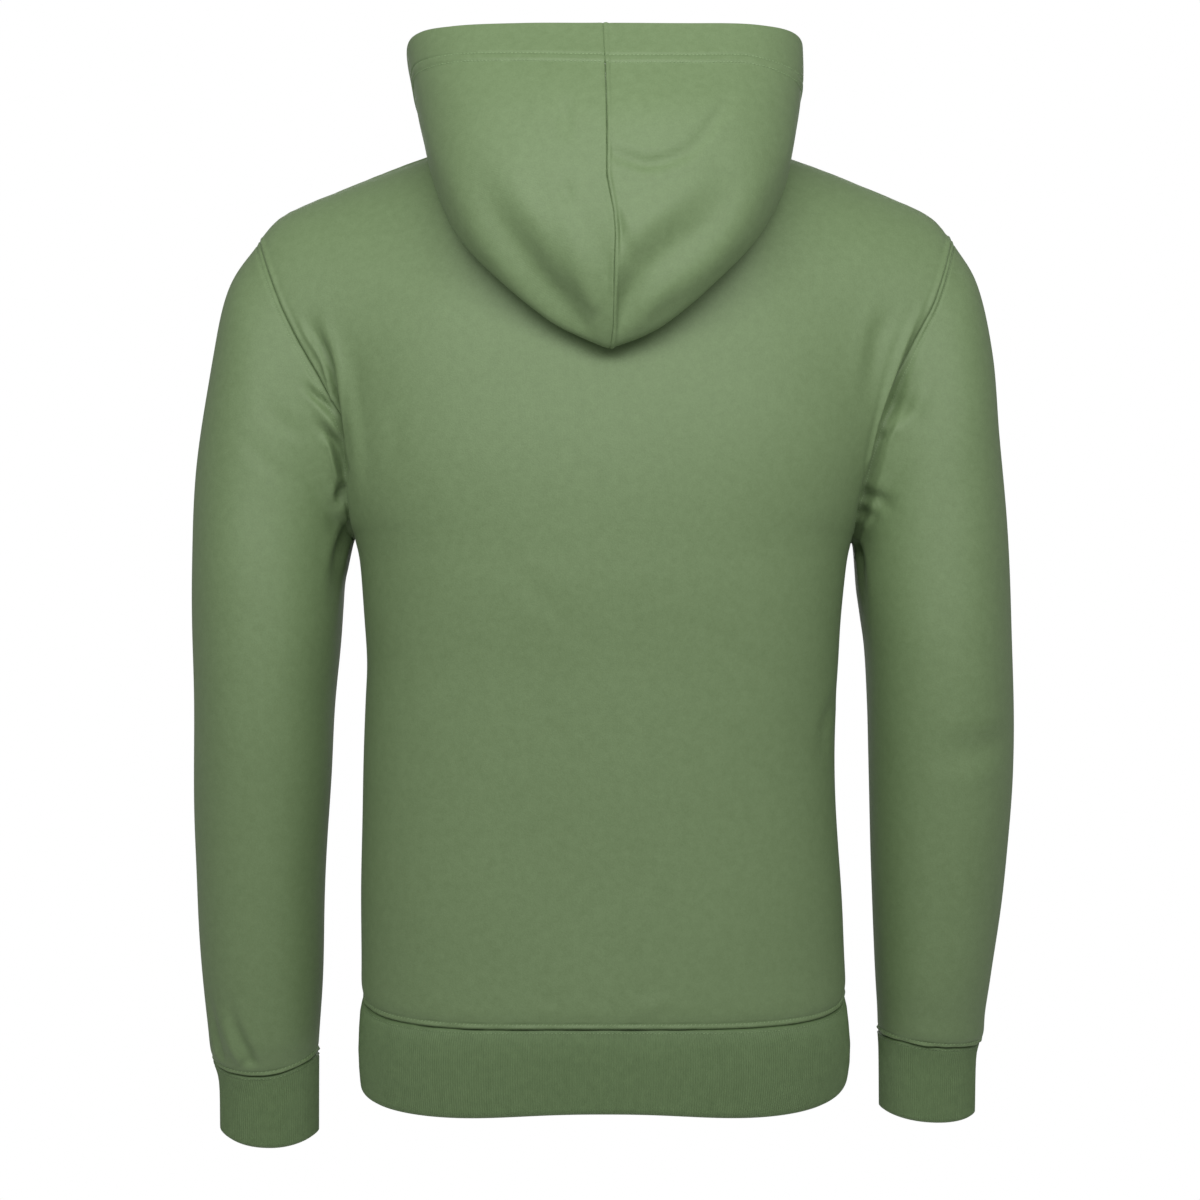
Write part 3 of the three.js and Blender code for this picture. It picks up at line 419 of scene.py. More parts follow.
folds = [
    # the back beside the armholes, as in the photo
    {"on": "back", "lean": -0.35, "path": [
        (-207, -60, -128, 0.5, 5), (-204, -62, -135, 2.4, 5), (-199, -64, -145, 5, 3.8),
        (-194, -65, -153, 6.6, 3.2), (-190, -65, -166, 7.7, 3), (-188, -64, -180, 7.7, 2.8),
        (-185, -61, -195, 7.2, 2.8), (-182, -58, -209, 5.5, 2.8), (-181, -57, -225, 3.6, 3.4),
        (-179, -59, -236, 1.2, 4)]},
    {"on": "back", "path": [(-196, -64, -137, -0.2, 7), (-187, -67, -152, -1.2, 7), (-181, -69, -172, -1.9, 7),
        (-177, -70, -192, -2.2, 7), (-173, -72, -213, -1.9, 7), (-171, -71, -234, -1.2, 7),
        (-169, -68, -255, -0.4, 7)]},
    {"on": "back", "path": [(200, -62, -120, 0.4, 7), (196, -65, -130, 1.6, 7), (191, -67, -140, 2.4, 7),
        (188, -68, -155, 2.4, 7), (185, -69, -172, 1.4, 8), (183, -69, -187, 0.4, 8)]},
    {"on": "back", "path": [(224, -55, -117, -0.2, 4), (216, -59, -133, -1.9, 4), (210, -61, -145, -3.1, 3.8),
        (205, -62, -159, -3.6, 3.6), (200, -62, -175, -3.6, 3.4), (195, -61, -192, -3.6, 3.4),
        (190, -59, -210, -3.6, 3.4), (186, -56, -225, -3.4, 3.4), (183, -48, -241, -2.9, 3.4),
        (178, -40, -259, -1.9, 3.4), (176, -29, -276, -0.7, 3.4)]},
    # the left sleeve under the arm
    {"on": "left", "path": [(-210, -61, -176, 0.6, 4), (-205, -61, -179, 3.1, 3), (-200, -60, -183, 5, 2.6),
        (-195, -60, -187, 5, 2.6), (-190, -60, -192, 3.6, 3)]},
    {"on": "left", "path": [(-197, -59, -206, 1.2, 4), (-192, -59, -208, 4.8, 3.2), (-188, -57, -214, 6.2, 2.8),
        (-186, -55, -221, 6.6, 2.8), (-184, -53, -230, 6.6, 2.8), (-182, -49, -239, 5.5, 3)]},
    {"on": "left", "path": [(-183, -47, -244, 4.2, 3), (-185, -46, -249, 5.4, 3), (-185, -43, -255, 3, 3.5)]},
    {"on": "left", "path": [(-180, -25, -271, 3, 6), (-184, -22, -281, 4.2, 7), (-188, -25, -293, 3.6, 8),
        (-190, -26, -306, 1.8, 9), (-192, -29, -324, 0.6, 10)]},
    {"on": "left", "path": [(-199, -60, -192, -1.7, 5), (-192, -59, -199, -2.9, 5), (-187, -58, -208, -1.9, 4)]},
    {"on": "left", "path": [(-185, -40, -260, -2.4, 6), (-182, -33, -266, -2.4, 6)]},
    {"on": "left", "path": [(-238, -63, -187, 0.2, 6), (-225, -63, -199, 1, 6), (-217, -62, -206, 1.1, 5),
        (-207, -60, -207, 0.4, 5)]},
    {"on": "left", "path": [(-250, -64, -212, 0.2, 6), (-237, -66, -226, 0.8, 6), (-221, -64, -241, 0.8, 6),
        (-211, -60, -254, 0.2, 6)]},
    # the right sleeve under the arm and behind the elbow
    {"on": "right", "path": [(215, -59, -151, 0.5, 4), (211, -60, -161, 2.1, 4), (205, -60, -176, 3.4, 4),
        (198, -59, -196, 3.6, 4), (193, -57, -212, 3.4, 4), (189, -53, -230, 3.4, 4), (184, -46, -248, 3.4, 4),
        (181, -36, -263, 3.1, 4), (179, -19, -278, 2.1, 4)]},
    {"on": "right", "path": [(214, -60, -168, 1.6, 8), (209, -60, -178, 4.7, 8), (204, -60, -188, 6, 8),
        (199, -59, -197, 4.2, 7)]},
    {"on": "right", "path": [(223, -62, -199, 0.4, 8), (211, -61, -193, 2.1, 8), (202, -60, -188, 2.6, 8)]},
    {"on": "right", "path": [(192, -57, -213, 3.9, 2.4), (195, -58, -210, 4.2, 2),
        (200, -59, -206, 2.1, 1.8)]},
    {"on": "right", "path": [(182, -42, -253, 4.4, 4.6), (189, -46, -252, 4.2, 4.6), (197, -50, -256, 2.3, 5),
        (204, -56, -261, 0.4, 6)]},
    {"on": "right", "path": [(179, -34, -265, 3.9, 5), (185, -38, -263, 3.1, 5), (191, -43, -261, 1, 6)]},
    {"on": "right", "path": [(180, -11, -285, 3.9, 5), (182, -18, -293, 3.1, 6), (184, -20, -306, 1.6, 7),
        (185, -21, -324, 0.5, 8)]},
    {"on": "right", "path": [(284, -39, -421, 0.5, 10), (265, -59, -426, 2.1, 11), (244, -64, -430, 1.6, 13),
        (227, -62, -430, 0.4, 14)]},
    # the left sleeve where it is gathered into the cuff
    {"on": "left", "path": [(-266, -28, -608, 0.4, 6), (-264, -26, -621, 1.4, 5), (-261, -24, -632, 2.6, 5),
        (-256, -22, -644, 3.6, 5), (-252, -19, -653, 3.6, 5)]},
    {"on": "left", "path": [(-269, -22, -624, -0.6, 5), (-265, -21, -637, -1.8, 5),
        (-259, -19, -650, -2.2, 5)]},
    {"on": "left", "path": [(-282, -13, -610, 0.4, 5), (-280, -12, -624, 1.7, 5), (-277, -10, -640, 2.9, 5),
        (-274, -10, -651, 2.4, 5)]},
    # the hood where it hangs on the back
    {"on": "hoodleft", "path": [(-91, -125, -29, 0.4, 14), (-84, -132, -48, 2.2, 14), (-75, -138, -66, 4.3, 13),
        (-61, -141, -86, 6.2, 13), (-44, -140, -109, 6.1, 12), (-28, -138, -127, 5.9, 11),
        (-15, -134, -141, 3, 9)]},
    {"on": "hoodright", "path": [(92, -130, -35, 0.4, 15), (81, -138, -58, 3, 15), (65, -144, -76, 4.8, 14),
        (45, -148, -91, 6.3, 14), (27, -148, -107, 6.2, 12), (16, -144, -124, 6, 9), (10, -139, -139, 2.4, 8)]},
    {"on": "hoodleft", "path": [(-29, -149, -64, -0.5, 8), (-21, -151, -84, -1.9, 8), (-13, -149, -106, -2.7, 8),
        (-7, -143, -128, -1.6, 7)]},
    {"on": "hoodright", "path": [(3, -145, -27, 1.2, 5), (18, -145, -32, 2.2, 4.6), (30, -145, -35, 2.8, 4.4),
        (44, -143, -31, 2.4, 4.4), (58, -138, -24, 1.7, 4.4), (69, -132, -10, 1.7, 4.4), (78, -125, 3, 1.3, 4.6),
        (85, -118, 14, 0.5, 5)]},
    {"on": "hoodleft", "path": [(-26, -130, 11, 0.8, 4.5), (-26, -135, -1, 2.2, 4.5), (-25, -140, -15, 0.8, 4.5)]},
    {"on": "hoodleft", "path": [(-25, -147, -46, 0.8, 4.5), (-25, -148, -54, 2.2, 4.5), (-25, -149, -63, 0.8, 4.5)]},
    {"on": "hoodright", "path": [(5, -151, -67, 2.4, 4), (8, -152, -77, 3, 5), (12, -152, -91, 2.1, 6),
        (20, -150, -101, 0.9, 7)]},
    # faint creases low on the back
    {"on": "back", "path": [(-48, -102, -588, 0.2, 4), (-42, -102, -593, 0.8, 3.5), (-35, -102, -598, 0.2, 4)]},
    {"on": "back", "path": [(22, -103, -602, -0.4, 5), (32, -103, -600, -1.1, 5), (43, -102, -594, -0.4, 5)]},
    {"on": "back", "path": [(-141, -94, -188, 0.2, 7), (-142, -94, -209, 0.7, 7), (-144, -93, -235, 0.2, 8)]},
    {"on": "back", "path": [(-70, -113, -297, 0.2, 8), (-40, -115, -324, 0.7, 8), (-3, -113, -358, 0.2, 9)]},
    {"on": "back", "path": [(58, -112, -338, 0.2, 8), (89, -103, -358, 0.7, 8), (120, -87, -386, 0.2, 9)]},
    {"on": "back", "path": [(165, -26, -388, 0.4, 8), (155, -50, -408, 1.4, 8), (152, -54, -436, 0.4, 9)]},
    # the front, which the photo doesn't show, in the same manner
    {"on": "front", "path": [(-211, 66, -131, 0.4, 6), (-205, 68, -145, 2.4, 5.5), (-199, 70, -161, 4.2, 5),
        (-193, 71, -177, 5.6, 5), (-188, 71, -194, 6, 4.6), (-183, 71, -211, 5.6, 4.6),
        (-179, 70, -227, 4.6, 5), (-175, 68, -244, 3, 5), (-172, 64, -260, 1, 5)]},
    {"on": "front", "path": [(214, 65, -128, 0.4, 6), (207, 68, -147, 2.6, 5.5), (200, 70, -168, 4.8, 5),
        (194, 70, -187, 6, 4.6), (188, 69, -206, 5.4, 4.6), (181, 68, -224, 4, 5), (176, 66, -242, 2, 5)]},
    {"on": "front", "path": [(-145, 96, -223, 0.3, 11), (-111, 110, -246, 1.5, 13), (-76, 118, -262, 0.3, 15)]},
    {"on": "front", "path": [(141, 97, -219, 0.3, 11), (107, 111, -243, 1.7, 13), (68, 119, -261, 0.3, 15)]},
    {"on": "front", "path": [(-134, 75, -546, 0.3, 12), (-92, 93, -559, 1.7, 13), (-40, 100, -565, 0.4, 14)]},
    {"on": "front", "path": [(24, 101, -567, 0.4, 13), (73, 96, -560, 1.9, 13), (125, 79, -544, 0.3, 12)]},
    # the fronts of the sleeves: under the arm, inside the elbow, above the cuff
    {"on": "left", "path": [(-196, 55, -233, 3.6, 4), (-201, 60, -227, 3.4, 4), (-208, 65, -221, 2.2, 5),
        (-217, 69, -217, 0.5, 6)]},
    {"on": "left", "path": [(-189, 46, -254, 3.6, 5), (-198, 57, -254, 2.9, 6), (-210, 65, -259, 1.4, 7),
        (-220, 70, -266, 0.4, 8)]},
    {"on": "right", "path": [(195, 56, -231, 3.6, 4), (200, 60, -224, 3.6, 4), (209, 66, -219, 2.1, 5),
        (219, 70, -216, 0.5, 6)]},
    {"on": "right", "path": [(188, 46, -254, 3.9, 5), (195, 56, -253, 3.4, 6), (207, 65, -257, 1.7, 7),
        (218, 71, -266, 0.4, 8)]},
    {"on": "left", "path": [(-199, 36, -388, 1.2, 8), (-212, 57, -394, 3.1, 9), (-230, 69, -396, 2.9, 10),
        (-248, 71, -393, 0.7, 12)]},
    {"on": "left", "path": [(-200, 31, -424, 1.4, 8), (-210, 52, -425, 3.6, 9), (-225, 66, -418, 3.1, 10),
        (-241, 71, -408, 1.2, 12)]},
    {"on": "left", "path": [(-202, 35, -458, 0.7, 8), (-212, 54, -454, 2.4, 9), (-226, 66, -446, 1.4, 11)]},
    {"on": "right", "path": [(193, 30, -383, 1.3, 8), (204, 52, -391, 3.6, 9), (219, 66, -395, 3.1, 10),
        (238, 71, -392, 0.7, 12)]},
    {"on": "right", "path": [(193, 26, -422, 1.6, 8), (203, 49, -425, 3.9, 9), (218, 64, -420, 3.4, 10),
        (235, 70, -408, 1.3, 12)]},
    {"on": "right", "path": [(197, 38, -459, 0.8, 8), (207, 54, -454, 2.3, 9), (221, 65, -446, 1.3, 11)]},
    {"on": "left", "path": [(-252, 69, -601, 0.5, 6), (-249, 69, -616, 2.2, 5), (-248, 69, -631, 2.9, 5)]},
    {"on": "left", "path": [(-219, 57, -607, 0.4, 6), (-220, 58, -621, 1.8, 5), (-221, 59, -633, 2.4, 5)]},
    {"on": "right", "path": [(207, 52, -595, 0.4, 6), (208, 53, -608, 1.8, 5), (209, 54, -619, 2.6, 5)]},
    {"on": "right", "path": [(240, 68, -594, 0.4, 6), (238, 68, -607, 2.1, 5), (237, 67, -618, 2.6, 5)]},
    # the fronts of the hood
    {"on": "hoodleft", "path": [(-90, 66, -16, 0.4, 9), (-73, 50, -34, 2.7, 9), (-48, 72, -56, 3.2, 8),
        (-27, 79, -71, 1.6, 7)]},
    {"on": "hoodright", "path": [(91, 66, -16, 0.4, 9), (68, 58, -34, 3.3, 9), (44, 76, -56, 3.3, 8),
        (25, 81, -70, 1.5, 7)]},
]


# ---- seams: how the cloth lies beside a sewn edge, in millimetres from the edge
# roll: how far the very edge turns in; welt: the raised strip over the seam allowance; groove: where stitches press in
casing = {
    "rows": (22.5, 29.2), "lift": 1.0, "pressed": 0.8, "pressedWidth": 0.9,
    # how much farther from the edge the rows run on the back, by x
    "x": [-140, -115, -80, -40, 0, 60, 95, 115, 135], "farther": [0, 1, 4, 6, 7, 6, 4, 6, 9],
}
seamShapes = {
    "bodyArmhole": {"roll": 0.8, "rollWidth": 0.6, "welt": 0.6, "weltAt": 2.2, "weltWidth": 1.4,
                    "groove": 0.2, "grooveAt": 5.6, "grooveWidth": 1.6},
    "sleeveArmhole": {"roll": 0.7, "rollWidth": 0.6, "welt": 0.3, "weltAt": 1.7, "weltWidth": 0.8,
                      "groove": 0.75, "grooveAt": 3.5, "grooveWidth": 0.8},
    "plain": {"roll": 0.9, "rollWidth": 0.7, "welt": 0.3, "weltAt": 2.6, "weltWidth": 1.4,
              "groove": 0.0, "grooveAt": 5.0, "grooveWidth": 1.0},
    "centre": {"roll": 0.55, "rollWidth": 0.5, "welt": 0.1, "weltAt": 2.4, "weltWidth": 1.2,
               "groove": 0.0, "grooveAt": 5.0, "grooveWidth": 1.0},
    "raised": {"roll": 0.55, "rollWidth": 0.5, "welt": 0.65, "weltAt": 1.8, "weltWidth": 1.0,
               "groove": 0.15, "grooveAt": 4.2, "grooveWidth": 1.0},
    "neck": {"roll": 1.2, "rollWidth": 1.0, "welt": 0.4, "weltAt": 3.0, "weltWidth": 1.6,
             "groove": 0.3, "grooveAt": 5.6, "grooveWidth": 0.8},
    "rib": {"roll": 1.7, "rollWidth": 0.8, "welt": 0.3, "weltAt": 1.8, "weltWidth": 0.6,
            "groove": 0.3, "grooveAt": 2.8, "grooveWidth": 0.5},
    "hem": {"roll": 1.1, "rollWidth": 0.6, "welt": 0.95, "weltAt": 1.7, "weltWidth": 1.0,
            "groove": 0.4, "grooveAt": 3.9, "grooveWidth": 0.7},
    "casing": {"roll": 0.0, "rollWidth": 1.0, "welt": 0.0, "weltAt": 1.0, "weltWidth": 1.0,
               "groove": 0.0, "grooveAt": 1.0, "grooveWidth": 1.0},
}
# how deep the armhole seams lie between body and sleeve, by height
seamSink = {
    "z": [-290, -278, -265, -245, -222, -200, -180, -150, -120, 0],
    "left": [2, 2.5, 4.5, 6, 5.5, 3.2, 1.2, 0.3, 0, 0],
    "right": [2, 3, 5, 6, 6, 6, 5, 2.4, 0, 0],
    "width": 3.8,
}


def treeOf(points):
    tree = kdtree.KDTree(len(points))
    for i, point in enumerate(points):
        tree.insert(point, i)
    tree.balance()
    return tree


def seamOffset(distance, shape):
    # the roll at the edge, and the welt and groove beside it
    s = seamShapes[shape]
    bump = lambda at, width: np.exp(-(((distance - at) / width) ** 2))
    return (s["roll"] * bump(0, s["rollWidth"]),
            s["welt"] * bump(s["weltAt"], s["weltWidth"]) - s["groove"] * bump(s["grooveAt"], s["grooveWidth"]))


def dense(points, step=0.8):
    length = lengthsAlong(points)
    at = np.linspace(0, length[-1], max(2, int(length[-1] / step)))
    return np.stack([np.interp(at, length, points[:, k]) for k in range(3)], axis=1)


def puckered(count, seed, step=0.8, amount=0.3):
    # how a seam's welt swells and sinks as it goes
    chance = np.random.default_rng(seed)
    length = np.arange(count) * step
    total = sum(np.sin(2 * math.pi * length / chance.uniform(9, 40) + chance.uniform(0, 6.3)) for _ in range(6))
    return 1 + amount * total / math.sqrt(3)


class Seam:
    # a sewn line between pieces: all of them turn in along one shared direction, so their edges meet
    def __init__(self, line, touching, seed, sink=None):
        self.line = dense(line)
        self.sink = np.interp(self.line[:, 2], seamSink["z"], seamSink[sink]) if sink else np.zeros(len(self.line))
        out = np.zeros_like(self.line)
        for piece in touching:
            tree = treeOf(piece.plain.reshape(-1, 3))
            facing = facingOf(piece.plain, piece.wrap, piece.flip).reshape(-1, 3)
            out += facing[[tree.find(point)[1] for point in self.line]]
        self.out = unit(out)
        self.swell = puckered(len(self.line), seed)
        self.tree = treeOf(self.line)

    def nearest(self, grid):
        found = [self.tree.find(point) for point in grid.reshape(-1, 3)]
        index = np.array([f[1] for f in found]).reshape(grid.shape[:2])
        return np.array([f[2] for f in found]).reshape(grid.shape[:2]), index


class Piece:
    # one piece of cloth: its grid of outer points, worked on in millimetres
    def __init__(self, name, node, grid, wrap, flip, wall):
        self.name, self.node, self.grid, self.wrap, self.flip, self.wall = name, node, grid, wrap, flip, wall
        self.plain = grid.copy()
        self.thick = np.full(grid.shape[:2], float(wall))
        self.seams = {}

    def facing(self):
        return facingOf(self.grid, self.wrap, self.flip)

    def fold(self, lines, seed=1, size=150, amount=0.0, between=()):
        # folds die out at the seams that they run into, so the pieces still meet there
        facing = self.facing()
        offset = wavering(self.grid, seed, size, amount)
        for line in lines:
            offset += foldOffset(self.plain, facing, line)
        for seam in between:
            offset *= 1 - np.exp(-((seam.nearest(self.plain)[0] / 2.6) ** 2))
        self.grid = self.grid + facing * offset[..., None]

    def sew(self, name, seam, shape):
        away, index = seam.nearest(self.plain)
        self.seams[name] = away
        roll, beside = seamOffset(away, shape)
        beside = beside * seam.swell[index]
        inward = roll + seam.sink[index] * np.exp(-((away / seamSink["width"]) ** 2))
        self.grid = self.grid + self.facing() * beside[..., None] - seam.out[index] * inward[..., None]

    def tuck(self, over, into):
        # a strip of seam allowance before the first row, turned in behind the piece that it is sewn to
        first = self.grid[:1] - self.facing()[:1] * into + unit(self.grid[:1] - self.grid[3:4]) * over
        self.grid = np.concatenate([first, self.grid])
        self.plain = np.concatenate([self.plain[:1], self.plain])
        self.thick = np.concatenate([self.thick[:1], self.thick])
        self.seams = {name: np.concatenate([away[:1], away]) for name, away in self.seams.items()}


def shellMesh(piece, soft):
    # a closed wall behind the grid, its free edges rounded; soft says how far each edge swells out
    grid, wrap, flip = piece.grid, piece.wrap, piece.flip
    rows, columns = grid.shape[:2]
    facing = piece.facing()
    inner = grid - facing * piece.thick[..., None]
    count = rows * columns
    index = np.arange(count).reshape(rows, columns)
    if wrap:
        index = np.concatenate([index, index[:, :1]], axis=1)
    quads = np.stack([index[:-1, :-1], index[:-1, 1:], index[1:, 1:], index[1:, :-1]], axis=-1).reshape(-1, 4)
    if flip:
        quads = quads[:, ::-1]
    faces = [quads, quads[:, ::-1] + count]
    points = [grid.reshape(-1, 3), inner.reshape(-1, 3)]
    made = 2 * count
    if wrap:
        loops = [(index[0, :-1], soft["first"]), (index[-1, :-1][::-1], soft["last"])]
    else:
        ring = np.concatenate([index[0, :-1], index[:-1, -1], index[-1, :0:-1], index[:0:-1, 0]])
        swell = np.concatenate([np.full(columns - 1, soft["first"]), np.full(rows - 1, soft["right"]),
                                np.full(columns - 1, soft["last"]), np.full(rows - 1, soft["left"])])
        loops = [(ring, swell)]
    flatGrid, flatInner, flatFacing = points[0], points[1], facing.reshape(-1, 3)
    for ring, swell in loops:
        around = unit(np.roll(flatGrid[ring], -1, axis=0) - np.roll(flatGrid[ring], 1, axis=0))
        out = np.cross(around, flatFacing[ring]) * (-1 if flip else 1)
        middle = (flatGrid[ring] + flatInner[ring]) / 2
        middle = middle + out * (np.asarray(swell, float) * piece.thick.reshape(-1)[ring] / 2)[:, None]
        points.append(middle)
        rim = made + np.arange(len(ring))
        made += len(ring)
        nextRing, nextRim = np.roll(ring, -1), np.roll(rim, -1)
        one = np.stack([nextRing, ring, rim, nextRim], axis=-1)
        two = np.stack([nextRim, rim, ring + count, nextRing + count], axis=-1)
        both = np.concatenate([one, two])
        faces.append(both[:, ::-1] if flip else both)
    points = np.concatenate(points) / 1000
    faces = np.concatenate(faces)
    mesh = bpy.data.meshes.new(piece.name)
    mesh.from_pydata(points.tolist(), [], faces.tolist())
    mesh.polygons.foreach_set("use_smooth", np.ones(len(faces), bool))
    # the cloth's own grain: metres across and along the piece
    wide = np.concatenate([[0], np.cumsum(np.linalg.norm(np.diff(grid, axis=1), axis=2).mean(axis=0))])
    tall = np.concatenate([[0], np.cumsum(np.linalg.norm(np.diff(grid, axis=0), axis=2).mean(axis=1))])
    grain = np.stack(np.meshgrid(wide, tall), axis=-1).reshape(-1, 2) / 1000
    grain = np.concatenate([grain, grain] + [grain[ring] for ring, swell in loops])
    corners = np.empty(len(mesh.loops), np.int32)
    mesh.loops.foreach_get("vertex_index", corners)
    mesh.uv_layers.new(name="grain").data.foreach_set("uv", grain[corners].ravel().astype(np.float32))
    made = bpy.data.objects.new(piece.name, mesh)
    bpy.context.collection.objects.link(made)
    return made


# ---- laying out the pieces
steps = {"panel": 4.0, "sleeve": 3.6, "sleeveRound": 2.8, "hood": 3.6}
halfTurn = np.linspace(-1, 1, 2401)
chest = torsoPoint(underarmZ, halfTurn, "back")
acrossAt = np.interp(spaced(chest, steps["panel"], ends=(11, 11)), np.linspace(0, 1, len(halfTurn)), halfTurn)
for corner in (-neck["share"], 0.0, neck["share"]):
    acrossAt[np.abs(acrossAt - corner).argmin()] = corner
sideLine = torsoPoint(np.linspace(-605, underarmZ, 800), 0.5, "back")
lowerShare = spaced(sideLine, steps["panel"], ends=(7, 0))
upLine = yokeColumn("back", np.full(800, 0.7), np.linspace(0, 1, 800))
upShare = spaced(upLine, steps["panel"], ends=(0, 7))[1:]


def panelGrid(face):
    seam = levelOf(hemSeam, acrossAt)
    z = seam + (underarmZ - seam) * lowerShare[:, None]
    lower = torsoPoint(z, acrossAt[None], face, dip(z - seam))
    return np.concatenate([lower, yokePoint(face, acrossAt[None], upShare[:, None])])


def sleeveGrid(side):
    last = len(sleeve[side]["outX"]) - 1
    middle = sectionPoint(rowAt(sleeve[side], np.linspace(0, last, 1500)), side, -math.pi / 2)
    place = last * spaced(middle, steps["sleeve"], ends=(11, 6))
    section = sectionPoint(rowAt(sleeve[side], 4.0), side, -np.linspace(0, 2 * math.pi, 2000))
    turns = -2 * math.pi * spaced(section, steps["sleeveRound"], ends=(0, 0))[:-1]
    rows = {name: value[:, None] for name, value in rowAt(sleeve[side], place).items()}
    grid = sectionPoint(rows, side, turns[None])
    up = 1 - np.abs(turns) / math.pi
    hole = np.where((up >= 0)[:, None], armholePoint(side, "back", np.abs(up)), armholePoint(side, "front", np.abs(up)))
    near = np.clip(1 - place / 1.1, 0, 1)[:, None, None] ** 1.2
    return grid + (hole - sectionPoint(rowAt(sleeve[side], 0.0), side, turns))[None] * near


def hoodGrid(side, under):
    at = np.linspace(0, 1, 400)
    named = hoodSection(side, at)
    at = spaced(named[6], steps["hood"], ends=(6, 3))
    section = hoodSection(side, at)
    middle = curveThrough(section[:, len(at) // 6:len(at) // 6 + 1], np.linspace(0, 1, 1500))[:, 0]
    place = spaced(middle, steps["hood"], ends=(7, 34))
    grid = curveThrough(section, place).transpose(1, 0, 2)
    return clearOf(grid, under)


def eased(values, times):
    # draws every point of a grid towards its neighbours
    for _ in range(times):
        for axis in (0, 1):
            padded = np.concatenate([values.take([0], axis), values, values.take([-1], axis)], axis=axis)
            count = values.shape[axis]
            values = (padded.take(range(count), axis) + 2 * values + padded.take(range(2, count + 2), axis)) / 4
    return values


def clearOf(grid, under):
    # the hood lies on the back: points that would sink into it are moved out
    tree, normals = under
    flat = grid.reshape(-1, 3).copy()
    for i, point in enumerate(flat):
        foot, _, face, distance = tree.find_nearest(Vector(point))
        normal = normals[face]
        height = float(np.dot(point - np.array(foot), normal))
        if height < hood["clear"] and abs(height) > 0.8 * distance:
            flat[i] = point + normal * (hood["clear"] - height)
    shift = eased(flat.reshape(grid.shape) - grid, 8)
    fromNeck = np.linalg.norm(grid - grid[:, :1], axis=-1)
    return grid + shift * smooth(fromNeck, 0, 10)[..., None]


def ribbedBand(count):
    # once round the hem, four columns to a rib: where each column stands
    half = np.linspace(-1, 1, 4001)
    ring = np.concatenate([torsoPoint(-640, half, "back"), torsoPoint(-640, -half[1:], "front")])
    length = lengthsAlong(ring)
    at = np.linspace(0, length[-1], 4 * count + 1)[:-1]
    turn = np.interp(at, length, np.arange(len(ring)))
    back = turn < 4000
    across = np.where(back, turn / 2000 - 1, 3 - turn / 2000)
    seam, edge = levelOf(hemSeam, across), levelOf(hemEdge, across)
    share = np.array([0, 0.011, 0.025, 0.042, 0.062, 0.1, 0.18, 0.36, 0.6, 0.82, 0.95, 1])[:, None]
    z = seam + (edge - seam) * share
    drawn = dip(seam - z)
    grid = np.where(back[None, :, None], torsoPoint(z, across[None], "back", drawn),
                    torsoPoint(z, across[None], "front", drawn))
    return grid


def ribbedCuff(side, count):
    # a sleeve's turns run the other way round, from its outer side over the back
    row = {name: value for name, value in rowAt(cuff[side], 1.0).items()}
    turns = -np.linspace(0, 2 * math.pi, 3001)
    length = lengthsAlong(sectionPoint(row, side, turns))
    turns = np.interp(np.linspace(0, length[-1], 4 * count + 1)[:-1], length, turns)
    place = np.array([0, 0.04, 0.08, 0.13, 0.19, 0.3, 0.5, 0.75, 1.0, 1.25, 1.5, 1.72, 1.86, 1.95, 2])
    rows = {name: value[:, None] for name, value in rowAt(cuff[side], place).items()}
    return sectionPoint(rows, side, turns[None])


print("curves ready: panel", len(lowerShare) + len(upShare), "by", len(acrossAt))

# ---- the pieces of cloth
pieces = {}
for face in ("back", "front"):
    pieces[face + "Panel"] = Piece(face + "Panel", face + "_panel", panelGrid(face), False, face == "front",
                                   cloth["wall"])
for side in ("left", "right"):
    end = side.capitalize()
    pieces["sleeve" + end] = Piece("sleeve" + end, "sleeve_" + side, sleeveGrid(side), True, side == "left",
                                   cloth["wall"])
underRow = len(lowerShare) - 1
body = {face: pieces[face + "Panel"] for face in ("back", "front")}
sleeves = {side: pieces["sleeve" + side.capitalize()] for side in ("left", "right")}
hemLine = {face: torsoPoint(levelOf(hemSeam, halfTurn), halfTurn, face, seamDip["depth"]) for face in body}
upTo = np.linspace(0, 1, 900)
seams = {"neck": {face: Seam(topPoint(face, np.linspace(-neck["share"], neck["share"], 900)), [piece], 3)
                  for face, piece in body.items()}}
seams["hem"] = {face: Seam(hemLine[face], [piece], 4) for face, piece in body.items()}
for side, sign in (("left", -1), ("right", 1)):
    hole = np.concatenate([armholePoint(side, "back", upTo), armholePoint(side, "front", upTo[::-1])])
    seams["armhole_" + side] = Seam(hole, [*body.values(), sleeves[side]], 10 + sign, side)
    sideLine = torsoPoint(np.linspace(-604, underarmZ, 600), sign, "back")
    seams["side_" + side] = Seam(sideLine, body.values(), 20 + sign)
    seams["shoulder_" + side] = Seam(topPoint("back", sign * np.linspace(neck["share"], 1, 500)), body.values(),
                                     30 + sign)
    wrist = rowAt(sleeve[side], float(len(sleeve[side]["outX"]) - 1))
    wristLine = sectionPoint(wrist, side, np.linspace(0, 2 * math.pi, 700))
    seams["wrist_" + side] = Seam(wristLine, [sleeves[side]], 40 + sign)
print("seams ready")

